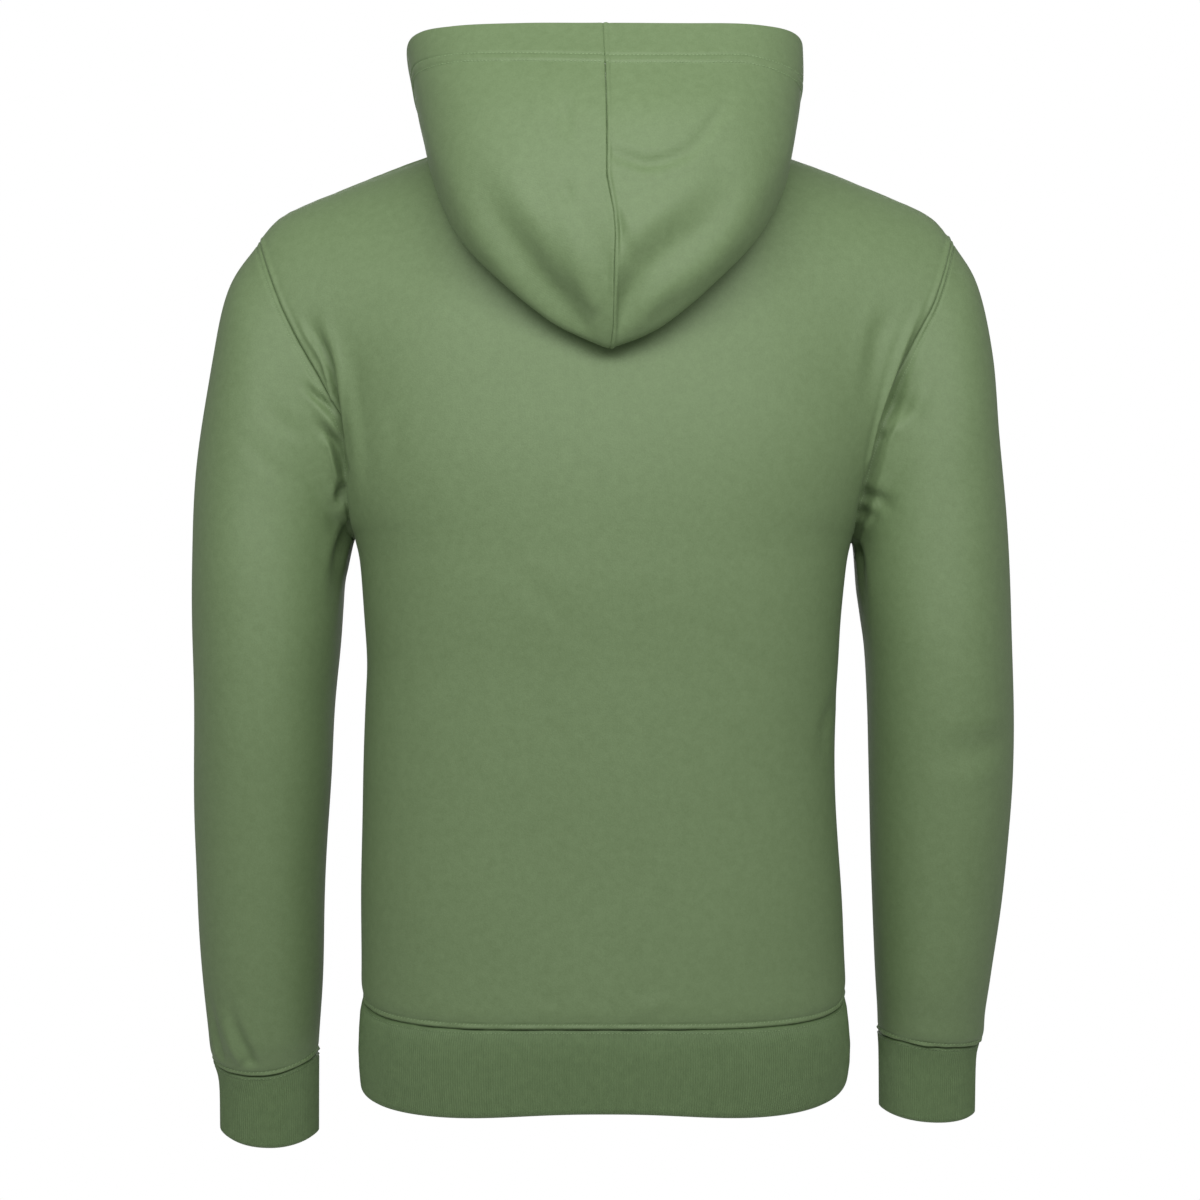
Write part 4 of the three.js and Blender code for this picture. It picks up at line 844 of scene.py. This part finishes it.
for face, piece in body.items():
    piece.fold([f for f in folds if f["on"] == face], seed=5 if face == "back" else 9, size=140, amount=0.5,
               between=[seams[name + side] for name in ("armhole_", "side_", "shoulder_") for side in sleeves])
    piece.sew("hem", seams["hem"][face], "hem")
    piece.sew("neck", seams["neck"][face], "neck")
    for side in ("left", "right"):
        piece.sew("armhole_" + side, seams["armhole_" + side], "bodyArmhole")
        piece.sew("side_" + side, seams["side_" + side], "plain")
        piece.sew("shoulder_" + side, seams["shoulder_" + side], "plain")
for side, piece in sleeves.items():
    piece.fold([f for f in folds if f["on"] == side], seed=17 if side == "left" else 23, size=120, amount=0.5,
               between=[seams["armhole_" + side]])
    piece.sew("armhole", seams["armhole_" + side], "sleeveArmhole")
    piece.sew("wrist", seams["wrist_" + side], "hem")
print("panels and sleeves laid out")

# the hood lies on the panels as they are now, folds and all
corners, triangles = [], []
for piece in body.values():
    rows, columns = piece.grid.shape[:2]
    index = np.arange(rows * columns).reshape(rows, columns)[underRow:] + sum(len(c) for c in corners)
    quads = np.stack([index[:-1, :-1], index[:-1, 1:], index[1:, 1:], index[1:, :-1]], axis=-1).reshape(-1, 4)
    corners.append(piece.grid.reshape(-1, 3))
    triangles.append(quads[:, ::-1] if piece.flip else quads)
corners, triangles = np.concatenate(corners), np.concatenate(triangles)
under = BVHTree.FromPolygons(corners.tolist(), triangles.tolist())
underNormals = unit(np.cross(corners[triangles[:, 2]] - corners[triangles[:, 0]],
                             corners[triangles[:, 3]] - corners[triangles[:, 1]]))
for side, sign in (("left", -1), ("right", 1)):
    grid = hoodGrid(side, (under, underNormals))
    piece = Piece("hood" + side.capitalize(), "hood_" + side, grid, False, side == "right", cloth["wall"])
    pieces[piece.name] = piece
    away = np.linalg.norm(piece.plain - piece.plain[:, -1:], axis=-1)
    piece.thick += cloth["casingExtra"] * (1 - smooth(away, cloth["casing"] - 1, cloth["casing"] + 1.5))
    drift = np.interp(grid[..., 2], hood["driftZ"], hood["driftBy"]) * np.exp(-((grid[..., 0] / 32) ** 2))
    piece.grid[..., 0] += drift * smooth(-grid[..., 1], 80, 95)
    piece.plain = piece.grid.copy()
    # the two front edges stand a little apart
    toEdge = np.linalg.norm(piece.grid - piece.grid[-1:], axis=-1)
    piece.grid[..., 0] += sign * cloth["frontEdgeGap"] / 2 * (1 - smooth(toEdge, 0, 14))
    piece.fold([f for f in folds if f["on"] == "hood" + side], seed=31 + sign, size=90, amount=0.5,
               between=[Seam(piece.plain[0], [piece], 49)])
for side in ("left", "right"):
    piece = pieces["hood" + side.capitalize()]
    piece.sew("neck", Seam(piece.plain[:, 0], [piece], 50), "neck")
    piece.sew("centre", Seam(piece.plain[0], [pieces["hoodLeft"], pieces["hoodRight"]], 51),
              "centre" if side == "left" else "raised")
    piece.sew("rim", Seam(piece.plain[:, -1], [piece], 52), "casing")
    # the casing of the hood's edge: two layers more, held down by two rows of stitches
    farther = np.interp(piece.plain[..., 0], casing["x"], casing["farther"])
    away = piece.seams["rim"] - farther * smooth(-piece.plain[..., 1], 10, 60)
    piece.seams["casing"] = away
    pressed = sum(np.exp(-(((away - row) / casing["pressedWidth"]) ** 2)) for row in casing["rows"])
    lift = casing["lift"] * (1 - smooth(away, casing["rows"][1] - 0.4, casing["rows"][1] + 1.4))
    piece.grid = piece.grid + piece.facing() * (lift - casing["pressed"] * pressed)[..., None]
print("hood laid out")

# ---- ribs: the rib bands get a column attribute that Geometry Nodes raises into ribs
ribbed = {
    "hem": {"count": 540, "depth": 0.34},
    "cuff": {"count": 140, "depth": 0.34},
}
pieces["hemBand"] = Piece("hemBand", "hem_band", ribbedBand(ribbed["hem"]["count"]), True, True, cloth["ribWall"])
for side in ("left", "right"):
    pieces["cuff" + side.capitalize()] = Piece(
        "cuff" + side.capitalize(), "cuff_" + side, ribbedCuff(side, ribbed["cuff"]["count"]), True, side == "left",
        cloth["ribWall"])
for name in ("hemBand", "cuffLeft", "cuffRight"):
    piece = pieces[name]
    piece.sew("seam", Seam(np.concatenate([piece.plain[0], piece.plain[0][:1]]), [piece], 60), "rib")


def nodeTree(name, inputs):
    # an empty Geometry Nodes tree with a mesh in and out and named inputs
    tree = bpy.data.node_groups.new(name, "GeometryNodeTree")
    tree.interface.new_socket("Geometry", in_out="INPUT", socket_type="NodeSocketGeometry")
    tree.interface.new_socket("Geometry", in_out="OUTPUT", socket_type="NodeSocketGeometry")
    for label, kind in inputs.items():
        tree.interface.new_socket(label, in_out="INPUT", socket_type=kind)
    start, end = tree.nodes.new("NodeGroupInput"), tree.nodes.new("NodeGroupOutput")
    return tree, start, end


def applyTree(made, tree, values, name):
    # the tree's result as a plain mesh at the origin, in place of the object it worked on
    modifier = made.modifiers.new(tree.name, "NODES")
    modifier.node_group = tree
    for item in tree.interface.items_tree:
        if item.item_type == "SOCKET" and item.in_out == "INPUT" and item.name in values:
            modifier[item.identifier] = values[item.name]
    made.update_tag()
    bpy.context.view_layer.update()
    mesh = bpy.data.meshes.new_from_object(made.evaluated_get(bpy.context.evaluated_depsgraph_get()))
    mesh.name = name
    result = bpy.data.objects.new(name, mesh)
    bpy.context.collection.objects.link(result)
    made.modifiers.clear()
    old = made.data
    bpy.data.objects.remove(made)
    bpy.data.meshes.remove(old)
    result.name = mesh.name = name
    return result


# raises the mesh along its normals by the rib attribute
ribTree, start, end = nodeTree("raiseRibs", {"Rib Depth": "NodeSocketFloat", "Cloth": "NodeSocketMaterial"})
attribute = ribTree.nodes.new("GeometryNodeInputNamedAttribute")
attribute.data_type = "FLOAT"
attribute.inputs["Name"].default_value = "rib"
height = ribTree.nodes.new("ShaderNodeMath")
height.operation = "MULTIPLY"
normal = ribTree.nodes.new("GeometryNodeInputNormal")
lifted = ribTree.nodes.new("ShaderNodeVectorMath")
lifted.operation = "SCALE"
move = ribTree.nodes.new("GeometryNodeSetPosition")
realize = ribTree.nodes.new("GeometryNodeRealizeInstances")
dress = ribTree.nodes.new("GeometryNodeSetMaterial")
for a, b in (
    (attribute.outputs["Attribute"], height.inputs[0]), (start.outputs["Rib Depth"], height.inputs[1]),
    (normal.outputs[0], lifted.inputs[0]), (height.outputs[0], lifted.inputs["Scale"]),
    (start.outputs["Geometry"], move.inputs["Geometry"]), (lifted.outputs[0], move.inputs["Offset"]),
    (move.outputs[0], realize.inputs[0]), (realize.outputs[0], dress.inputs["Geometry"]),
    (start.outputs["Cloth"], dress.inputs["Material"]), (dress.outputs[0], end.inputs["Geometry"]),
):
    ribTree.links.new(a, b)

# puts one stitch on every point of a mesh, along its "run" and standing up from the cloth by its "outward"
stitchTree, start, end = nodeTree("stitchOnPoints", {
    "Stitch Length": "NodeSocketFloat", "Thread": "NodeSocketFloat", "Seed": "NodeSocketInt",
    "Material": "NodeSocketMaterial",
})
nodes = stitchTree.nodes
named = {}
for label in ("run", "outward"):
    named[label] = nodes.new("GeometryNodeInputNamedAttribute")
    named[label].data_type = "FLOAT_VECTOR"
    named[label].inputs["Name"].default_value = label
alignRun = nodes.new("FunctionNodeAlignRotationToVector")
alignRun.axis = "X"
alignUp = nodes.new("FunctionNodeAlignRotationToVector")
alignUp.axis = "Z"
alignUp.pivot_axis = "X"
ball = nodes.new("GeometryNodeMeshUVSphere")
ball.inputs["Segments"].default_value = 5
ball.inputs["Rings"].default_value = 4
ball.inputs["Radius"].default_value = 0.5
size = nodes.new("ShaderNodeCombineXYZ")
vary = nodes.new("FunctionNodeRandomValue")
vary.data_type = "FLOAT"
vary.inputs[2].default_value = 0.86
vary.inputs[3].default_value = 1.1
scaled = nodes.new("ShaderNodeVectorMath")
scaled.operation = "SCALE"
place = nodes.new("GeometryNodeInstanceOnPoints")
realize = nodes.new("GeometryNodeRealizeInstances")
smoothed = nodes.new("GeometryNodeSetShadeSmooth")
dress = nodes.new("GeometryNodeSetMaterial")
for a, b in (
    (named["run"].outputs["Attribute"], alignRun.inputs["Vector"]), (alignRun.outputs[0], alignUp.inputs["Rotation"]),
    (named["outward"].outputs["Attribute"], alignUp.inputs["Vector"]),
    (start.outputs["Geometry"], place.inputs["Points"]), (alignUp.outputs[0], place.inputs["Rotation"]),
    (ball.outputs["Mesh"], place.inputs["Instance"]),
    (start.outputs["Stitch Length"], size.inputs[0]), (start.outputs["Thread"], size.inputs[1]),
    (start.outputs["Thread"], size.inputs[2]), (size.outputs[0], scaled.inputs[0]),
    (start.outputs["Seed"], vary.inputs["Seed"]), (vary.outputs[1], scaled.inputs["Scale"]),
    (scaled.outputs[0], place.inputs["Scale"]), (place.outputs[0], smoothed.inputs[0]),
    (smoothed.outputs[0], realize.inputs[0]), (realize.outputs[0], dress.inputs["Geometry"]),
    (start.outputs["Material"], dress.inputs["Material"]), (dress.outputs[0], end.inputs["Geometry"]),
):
    stitchTree.links.new(a, b)


# ---- materials
class Wire:
    # a shader socket that can be used in sums and products
    def __init__(self, tree, socket=None):
        self.tree, self.socket = tree, socket

    def node(self, kind, settings=None, inputs=None, out=0):
        made = self.tree.nodes.new(kind)
        for name, value in (settings or {}).items():
            if name == "stops":
                ramp = made.color_ramp.elements
                while len(ramp) < len(value):
                    ramp.new(1.0)
                for element, (position, colour) in zip(ramp, value):
                    element.position, element.color = position, (*colour, 1.0)
            else:
                setattr(made, name, value)
        for key, value in (inputs or {}).items():
            if isinstance(value, Wire):
                self.tree.links.new(value.socket, made.inputs[key])
            else:
                made.inputs[key].default_value = value
        return Wire(self.tree, made.outputs[out])

    def sum(self, operation, first, second):
        return self.node("ShaderNodeMath", {"operation": operation}, {0: first, 1: second})

    def __add__(self, other):
        return self.sum("ADD", self, other)

    def __radd__(self, other):
        return self.sum("ADD", other, self)

    def __sub__(self, other):
        return self.sum("SUBTRACT", self, other)

    def __rsub__(self, other):
        return self.sum("SUBTRACT", other, self)

    def __mul__(self, other):
        return self.sum("MULTIPLY", self, other)

    def __rmul__(self, other):
        return self.sum("MULTIPLY", other, self)

    def __pow__(self, other):
        return self.sum("POWER", self, other)


def mixed(wire, share, first, second):
    # a colour between two others
    return wire.node("ShaderNodeMix", {"data_type": "RGBA"}, {0: share, 6: first, 7: second}, out=2)


sweatshirt = {
    "light": (0.180, 0.264, 0.120),
    "deep": (0.148, 0.222, 0.094),
    "wale": 0.00095,        # width of a knitted column
    "course": 0.00075,      # height of a knitted row
    "roughness": 0.62,
    "specular": 0.55,
    "sheen": 0.05,
}


def knitMaterial(name, colours, ribs=False):
    material = bpy.data.materials.new(name)
    material.use_nodes = True
    tree = material.node_tree
    tree.nodes.clear()
    wire = Wire(tree)
    where = wire.node("ShaderNodeTexCoord", out=3)
    grain = wire.node("ShaderNodeUVMap", {"uv_map": "grain"})
    fuzz = wire.node("ShaderNodeTexNoise", {}, {"Vector": where, "Scale": 900.0, "Detail": 3.0, "Roughness": 0.65})
    nap = wire.node("ShaderNodeTexNoise", {}, {"Vector": where, "Scale": 170.0, "Detail": 3.0, "Roughness": 0.65})
    cloud = wire.node("ShaderNodeTexNoise", {}, {"Vector": where, "Scale": 16.0, "Detail": 2.0, "Roughness": 0.5})
    parts = wire.node("ShaderNodeSeparateXYZ", {}, {0: grain})
    across, down = parts, Wire(tree, parts.socket.node.outputs[1])
    # every knitted column is a chain of small Vs
    column = wire.node("ShaderNodeMath", {"operation": "FRACT"}, {0: across * (1 / sweatshirt["wale"])})
    lean = wire.node("ShaderNodeMath", {"operation": "ABSOLUTE"}, {0: column - 0.5})
    chain = wire.node("ShaderNodeMath", {"operation": "SINE"},
                      {0: (down * (1 / sweatshirt["course"]) + lean * 1.1) * (2 * math.pi)})
    knit = chain * 0.25 + (1 - lean * 2) * 0.5
    shade = nap * 0.5 + cloud * 0.12 + fuzz * 0.55
    share = wire.node("ShaderNodeMapRange", {}, {"Value": shade, "From Min": 0.42, "From Max": 0.73})
    colour = mixed(wire, share, (*colours["deep"], 1), (*colours["light"], 1))
    height = fuzz * 0.8 + nap * 0.5 + (knit * 0.22 if not ribs else knit * 0.3)
    bump = wire.node("ShaderNodeBump", {}, {"Strength": 0.5, "Distance": 0.00035, "Height": height})
    shader = tree.nodes.new("ShaderNodeBsdfPrincipled")
    tree.links.new(colour.socket, shader.inputs["Base Color"])
    rough = nap * 0.08 + (colours["roughness"] - 0.05)
    tree.links.new(rough.socket, shader.inputs["Roughness"])
    tree.links.new(bump.socket, shader.inputs["Normal"])
    shader.inputs["Sheen Weight"].default_value = colours["sheen"]
    shader.inputs["Sheen Roughness"].default_value = 0.6
    shader.inputs["Sheen Tint"].default_value = (0.9, 0.95, 0.85, 1)
    shader.inputs["Specular IOR Level"].default_value = colours["specular"]
    out = tree.nodes.new("ShaderNodeOutputMaterial")
    tree.links.new(shader.outputs[0], out.inputs[0])
    return material


fleece = knitMaterial("brushedSweatshirtCloth", sweatshirt)
ribKnit = knitMaterial("ribKnit", {**sweatshirt, "light": (0.150, 0.232, 0.098), "deep": (0.114, 0.182, 0.072)}, True)


def threadMaterial():
    material = bpy.data.materials.new("matchingThread")
    material.use_nodes = True
    tree = material.node_tree
    tree.nodes.clear()
    wire = Wire(tree)
    where = wire.node("ShaderNodeTexCoord", out=3)
    twist = wire.node("ShaderNodeTexWave", {"bands_direction": "DIAGONAL"}, {"Vector": where, "Scale": 1500.0})
    colour = mixed(wire, twist * 0.5, (0.26, 0.37, 0.19, 1), (0.21, 0.31, 0.145, 1))
    shader = tree.nodes.new("ShaderNodeBsdfPrincipled")
    tree.links.new(colour.socket, shader.inputs["Base Color"])
    shader.inputs["Roughness"].default_value = 0.7
    out = tree.nodes.new("ShaderNodeOutputMaterial")
    tree.links.new(shader.outputs[0], out.inputs[0])
    return material


thread = threadMaterial()

# ---- stitches: rows beside the seams, as (piece, seam, the edge it lies on, millimetres from it)
stitchRows = {
    "hemTicks": {
        "rows": [("backPanel", "hem", "first", 3.3), ("frontPanel", "hem", "first", 3.3),
                 ("sleeveLeft", "wrist", "last", 3.3), ("sleeveRight", "wrist", "last", 3.3)],
        "pitch": 2.9, "length": 2.4, "thread": 0.75, "slant": 1.1, "sink": 0.0, "seed": 3,
    },
    "bandStitches": {
        "rows": [("hemBand", "seam", "first", 2.6), ("cuffLeft", "seam", "first", 2.6),
                 ("cuffRight", "seam", "first", 2.6)],
        "pitch": 2.6, "length": 1.9, "thread": 0.65, "slant": 0.25, "sink": 0.0, "seed": 5,
    },
    "armholeStitches": {
        "rows": [("sleeveLeft", "armhole", "first", 3.3), ("sleeveRight", "armhole", "first", 3.3)],
        "pitch": 2.1, "length": 1.5, "thread": 0.6, "slant": 0.5, "sink": 0.05, "seed": 7,
    },
    "casingStitches": {
        "rows": [(half, "casing", "right", away) for half in ("hoodLeft", "hoodRight") for away in casing["rows"]],
        "pitch": 2.7, "length": 2.3, "thread": 0.85, "slant": 0.0, "sink": 0.0, "seed": 11,
    },
}


def lineBeside(piece, seam, edge, distance):
    # where a line runs at a set distance from a seam, and which way the cloth faces there
    turned = {
        "first": lambda v: v, "last": lambda v: v[::-1], "right": lambda v: v.swapaxes(0, 1)[::-1],
    }[edge]
    place, away, facing = turned(piece.grid), turned(piece.seams[seam]), turned(piece.facing())
    row = np.clip((away > distance).argmax(axis=0), 1, None)
    column = np.arange(away.shape[1])
    near, far = away[row - 1, column], away[row, column]
    t = np.clip((distance - near) / np.maximum(far - near, 1e-6), 0, 1)[:, None]
    line, outward = (v[row - 1, column] * (1 - t) + v[row, column] * t for v in (place, facing))
    if piece.wrap:
        line, outward = np.concatenate([line, line[:1]]), np.concatenate([outward, outward[:1]])
    return line, unit(outward)


def stitchesAlong(line, outward, row, chance):
    length = lengthsAlong(line)
    count = int(length[-1] / row["pitch"])
    at = (np.arange(count) + 0.5 + chance.uniform(-0.07, 0.07, count)) * length[-1] / count
    read = lambda v, where: np.stack([np.interp(where, length, v[:, k]) for k in range(3)], axis=1)
    out = unit(read(outward, at))
    run = unit(read(line, at + 0.4) - read(line, at - 0.4))
    aside = np.cross(out, run)
    run = unit(run + aside * (row["slant"] + chance.uniform(-0.12, 0.12, (count, 1))))
    return read(line, at) - out * row["sink"] + aside * chance.uniform(-0.1, 0.1, (count, 1)), run, out


for name, row in stitchRows.items():
    chance = np.random.default_rng(row["seed"])
    sets = [stitchesAlong(*lineBeside(pieces[piece], *where), row, chance) for piece, *where in row["rows"]]
    places, runs, outs = (np.concatenate([one[k] for one in sets]) for k in range(3))
    mesh = bpy.data.meshes.new(name)
    mesh.from_pydata((places / 1000).tolist(), [], [])
    for label, values in (("run", runs), ("outward", outs)):
        carried = mesh.attributes.new(label, "FLOAT_VECTOR", "POINT")
        carried.data.foreach_set("vector", values.ravel().astype(np.float32))
    made = bpy.data.objects.new(name, mesh)
    bpy.context.collection.objects.link(made)
    made = applyTree(made, stitchTree, {
        "Stitch Length": row["length"] / 1000, "Thread": row["thread"] / 1000, "Seed": row["seed"], "Material": thread,
    }, name)
    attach(made, "root")
    print(name, len(places), "stitches,", len(made.data.polygons), "faces")

# ---- the shells
soft = {
    "sleeve": {"first": 0, "last": 0, "left": 0, "right": 0},
    "panel": {"first": 0, "last": 0, "left": 0, "right": 0},
    "band": {"first": 0, "last": 1, "left": 0, "right": 0},
    "hood": {"first": 0, "last": 0.8, "left": 0, "right": 0.8},
}
kinds = {"back": "panel", "front": "panel", "sleeve": "sleeve", "hood": "hood", "hem": "band", "cuff": "band"}
shown = {}
for name, piece in pieces.items():
    if name.startswith(("sleeve", "hem", "cuff")):
        piece.tuck(3.5, 3.0)
    kind = next(kind for start, kind in kinds.items() if name.startswith(start))
    made = shellMesh(piece, soft[kind])
    if kind == "band":
        rows, columns = piece.grid.shape[:2]
        profile = np.array([1.0, 0.25, -1.0, 0.25])[np.arange(columns) % 4]
        fade = smooth(piece.seams["seam"], 1.2, 3.4)
        rib = np.zeros(len(made.data.vertices))
        rib[:rows * columns] = (profile[None] * fade).ravel()
        made.data.attributes.new("rib", "FLOAT", "POINT").data.foreach_set("value", rib.astype(np.float32))
        depth = ribbed["hem" if name == "hemBand" else "cuff"]["depth"] / 1000
        made = applyTree(made, ribTree, {"Rib Depth": depth, "Cloth": ribKnit}, name)
    else:
        made.data.materials.append(fleece)
    shown[name] = made
    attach(made, "root")
    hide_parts(piece.node)
    "rib" if kind == "band" else "fleece"
print("shells made:", sum(len(made.data.polygons) for made in shown.values()) * 2, "triangles")

# ---- the studio
world = bpy.data.worlds.new("studio")
bpy.context.scene.world = world
world.use_nodes = True
air = world.node_tree
air.nodes.clear()
rays = air.nodes.new("ShaderNodeLightPath")
plainSky, softSky, chosen = (air.nodes.new("ShaderNodeBackground"), air.nodes.new("ShaderNodeBackground"),
                             air.nodes.new("ShaderNodeMixShader"))
plainSky.inputs["Color"].default_value = (1, 1, 1, 1)
plainSky.inputs["Strength"].default_value = 0.24
softSky.inputs["Color"].default_value = (1, 1, 1, 1)
softSky.inputs["Strength"].default_value = 1.0
skyOut = air.nodes.new("ShaderNodeOutputWorld")
air.links.new(rays.outputs["Is Camera Ray"], chosen.inputs[0])
air.links.new(plainSky.outputs[0], chosen.inputs[1])
air.links.new(softSky.outputs[0], chosen.inputs[2])
air.links.new(chosen.outputs[0], skyOut.inputs[0])


def areaLight(name, place, target, size, power):
    light = bpy.data.objects.new(name, bpy.data.lights.new(name, "AREA"))
    light.data.shape = "RECTANGLE"
    light.data.size, light.data.size_y = size
    light.data.energy = power
    light.location = place
    light.rotation_mode = "QUATERNION"
    light.rotation_quaternion = (Vector(target) - Vector(place)).to_track_quat("-Z", "Y")
    bpy.context.collection.objects.link(light)


areaLight("overheadSoftbox", (0, -1.4, 0.62), (0, -0.1, 0.6), (2.6, 0.7), 31)
areaLight("frontSoftbox", (0, -2.9, 0.0), (0, 0, -0.3), (2.2, 1.8), 3)
areaLight("farSoftbox", (0, 2.6, 0.5), (0, 0, -0.3), (1.8, 1.6), 24)

floorMesh = bpy.data.meshes.new("floor")
ring = [(studio["floorRadius"] * math.cos(a), studio["floorRadius"] * math.sin(a), studio["floorHeight"])
        for a in np.linspace(0, 2 * math.pi, 97)[:-1]]
floorMesh.from_pydata(ring, [], [list(range(96))])
floor = bpy.data.objects.new("floor", floorMesh)
bpy.context.collection.objects.link(floor)
pale = bpy.data.materials.new("paleFloor")
pale.use_nodes = True
pale.node_tree.nodes["Principled BSDF"].inputs["Base Color"].default_value = (0.86, 0.86, 0.85, 1)
pale.node_tree.nodes["Principled BSDF"].inputs["Roughness"].default_value = 0.9
floorMesh.materials.append(pale)
floor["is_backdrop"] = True
bpy.context.scene.view_settings.view_transform = "Standard"


def areaOf(piece):
    grid = piece.plain if not piece.wrap else np.concatenate([piece.plain, piece.plain[:, :1]], axis=1)
    one, two = grid[1:, 1:] - grid[:-1, :-1], grid[1:, :-1] - grid[:-1, 1:]
    return np.linalg.norm(np.cross(one, two), axis=-1).sum() / 2 / 1e6


# what each piece of cloth was cut to, in metres
cuts = {
    "backPanel": (0.56, 0.63), "frontPanel": (0.56, 0.63), "hemBand": (0.90, 0.066),
    "sleeveLeft": (0.41, 0.62), "sleeveRight": (0.41, 0.62), "cuffLeft": (0.22, 0.06), "cuffRight": (0.22, 0.06),
    "hoodLeft": (0.27, 0.36), "hoodRight": (0.27, 0.36),
}
for name, (width, length) in cuts.items():
    area = areaOf(pieces[name])
    print(name, "area", round(area, 4), "of", round(width * length, 4), pieces[name].grid.shape)

size = {"cad": [list(c) for c in cadBox], "visual": [list(c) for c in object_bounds()]}
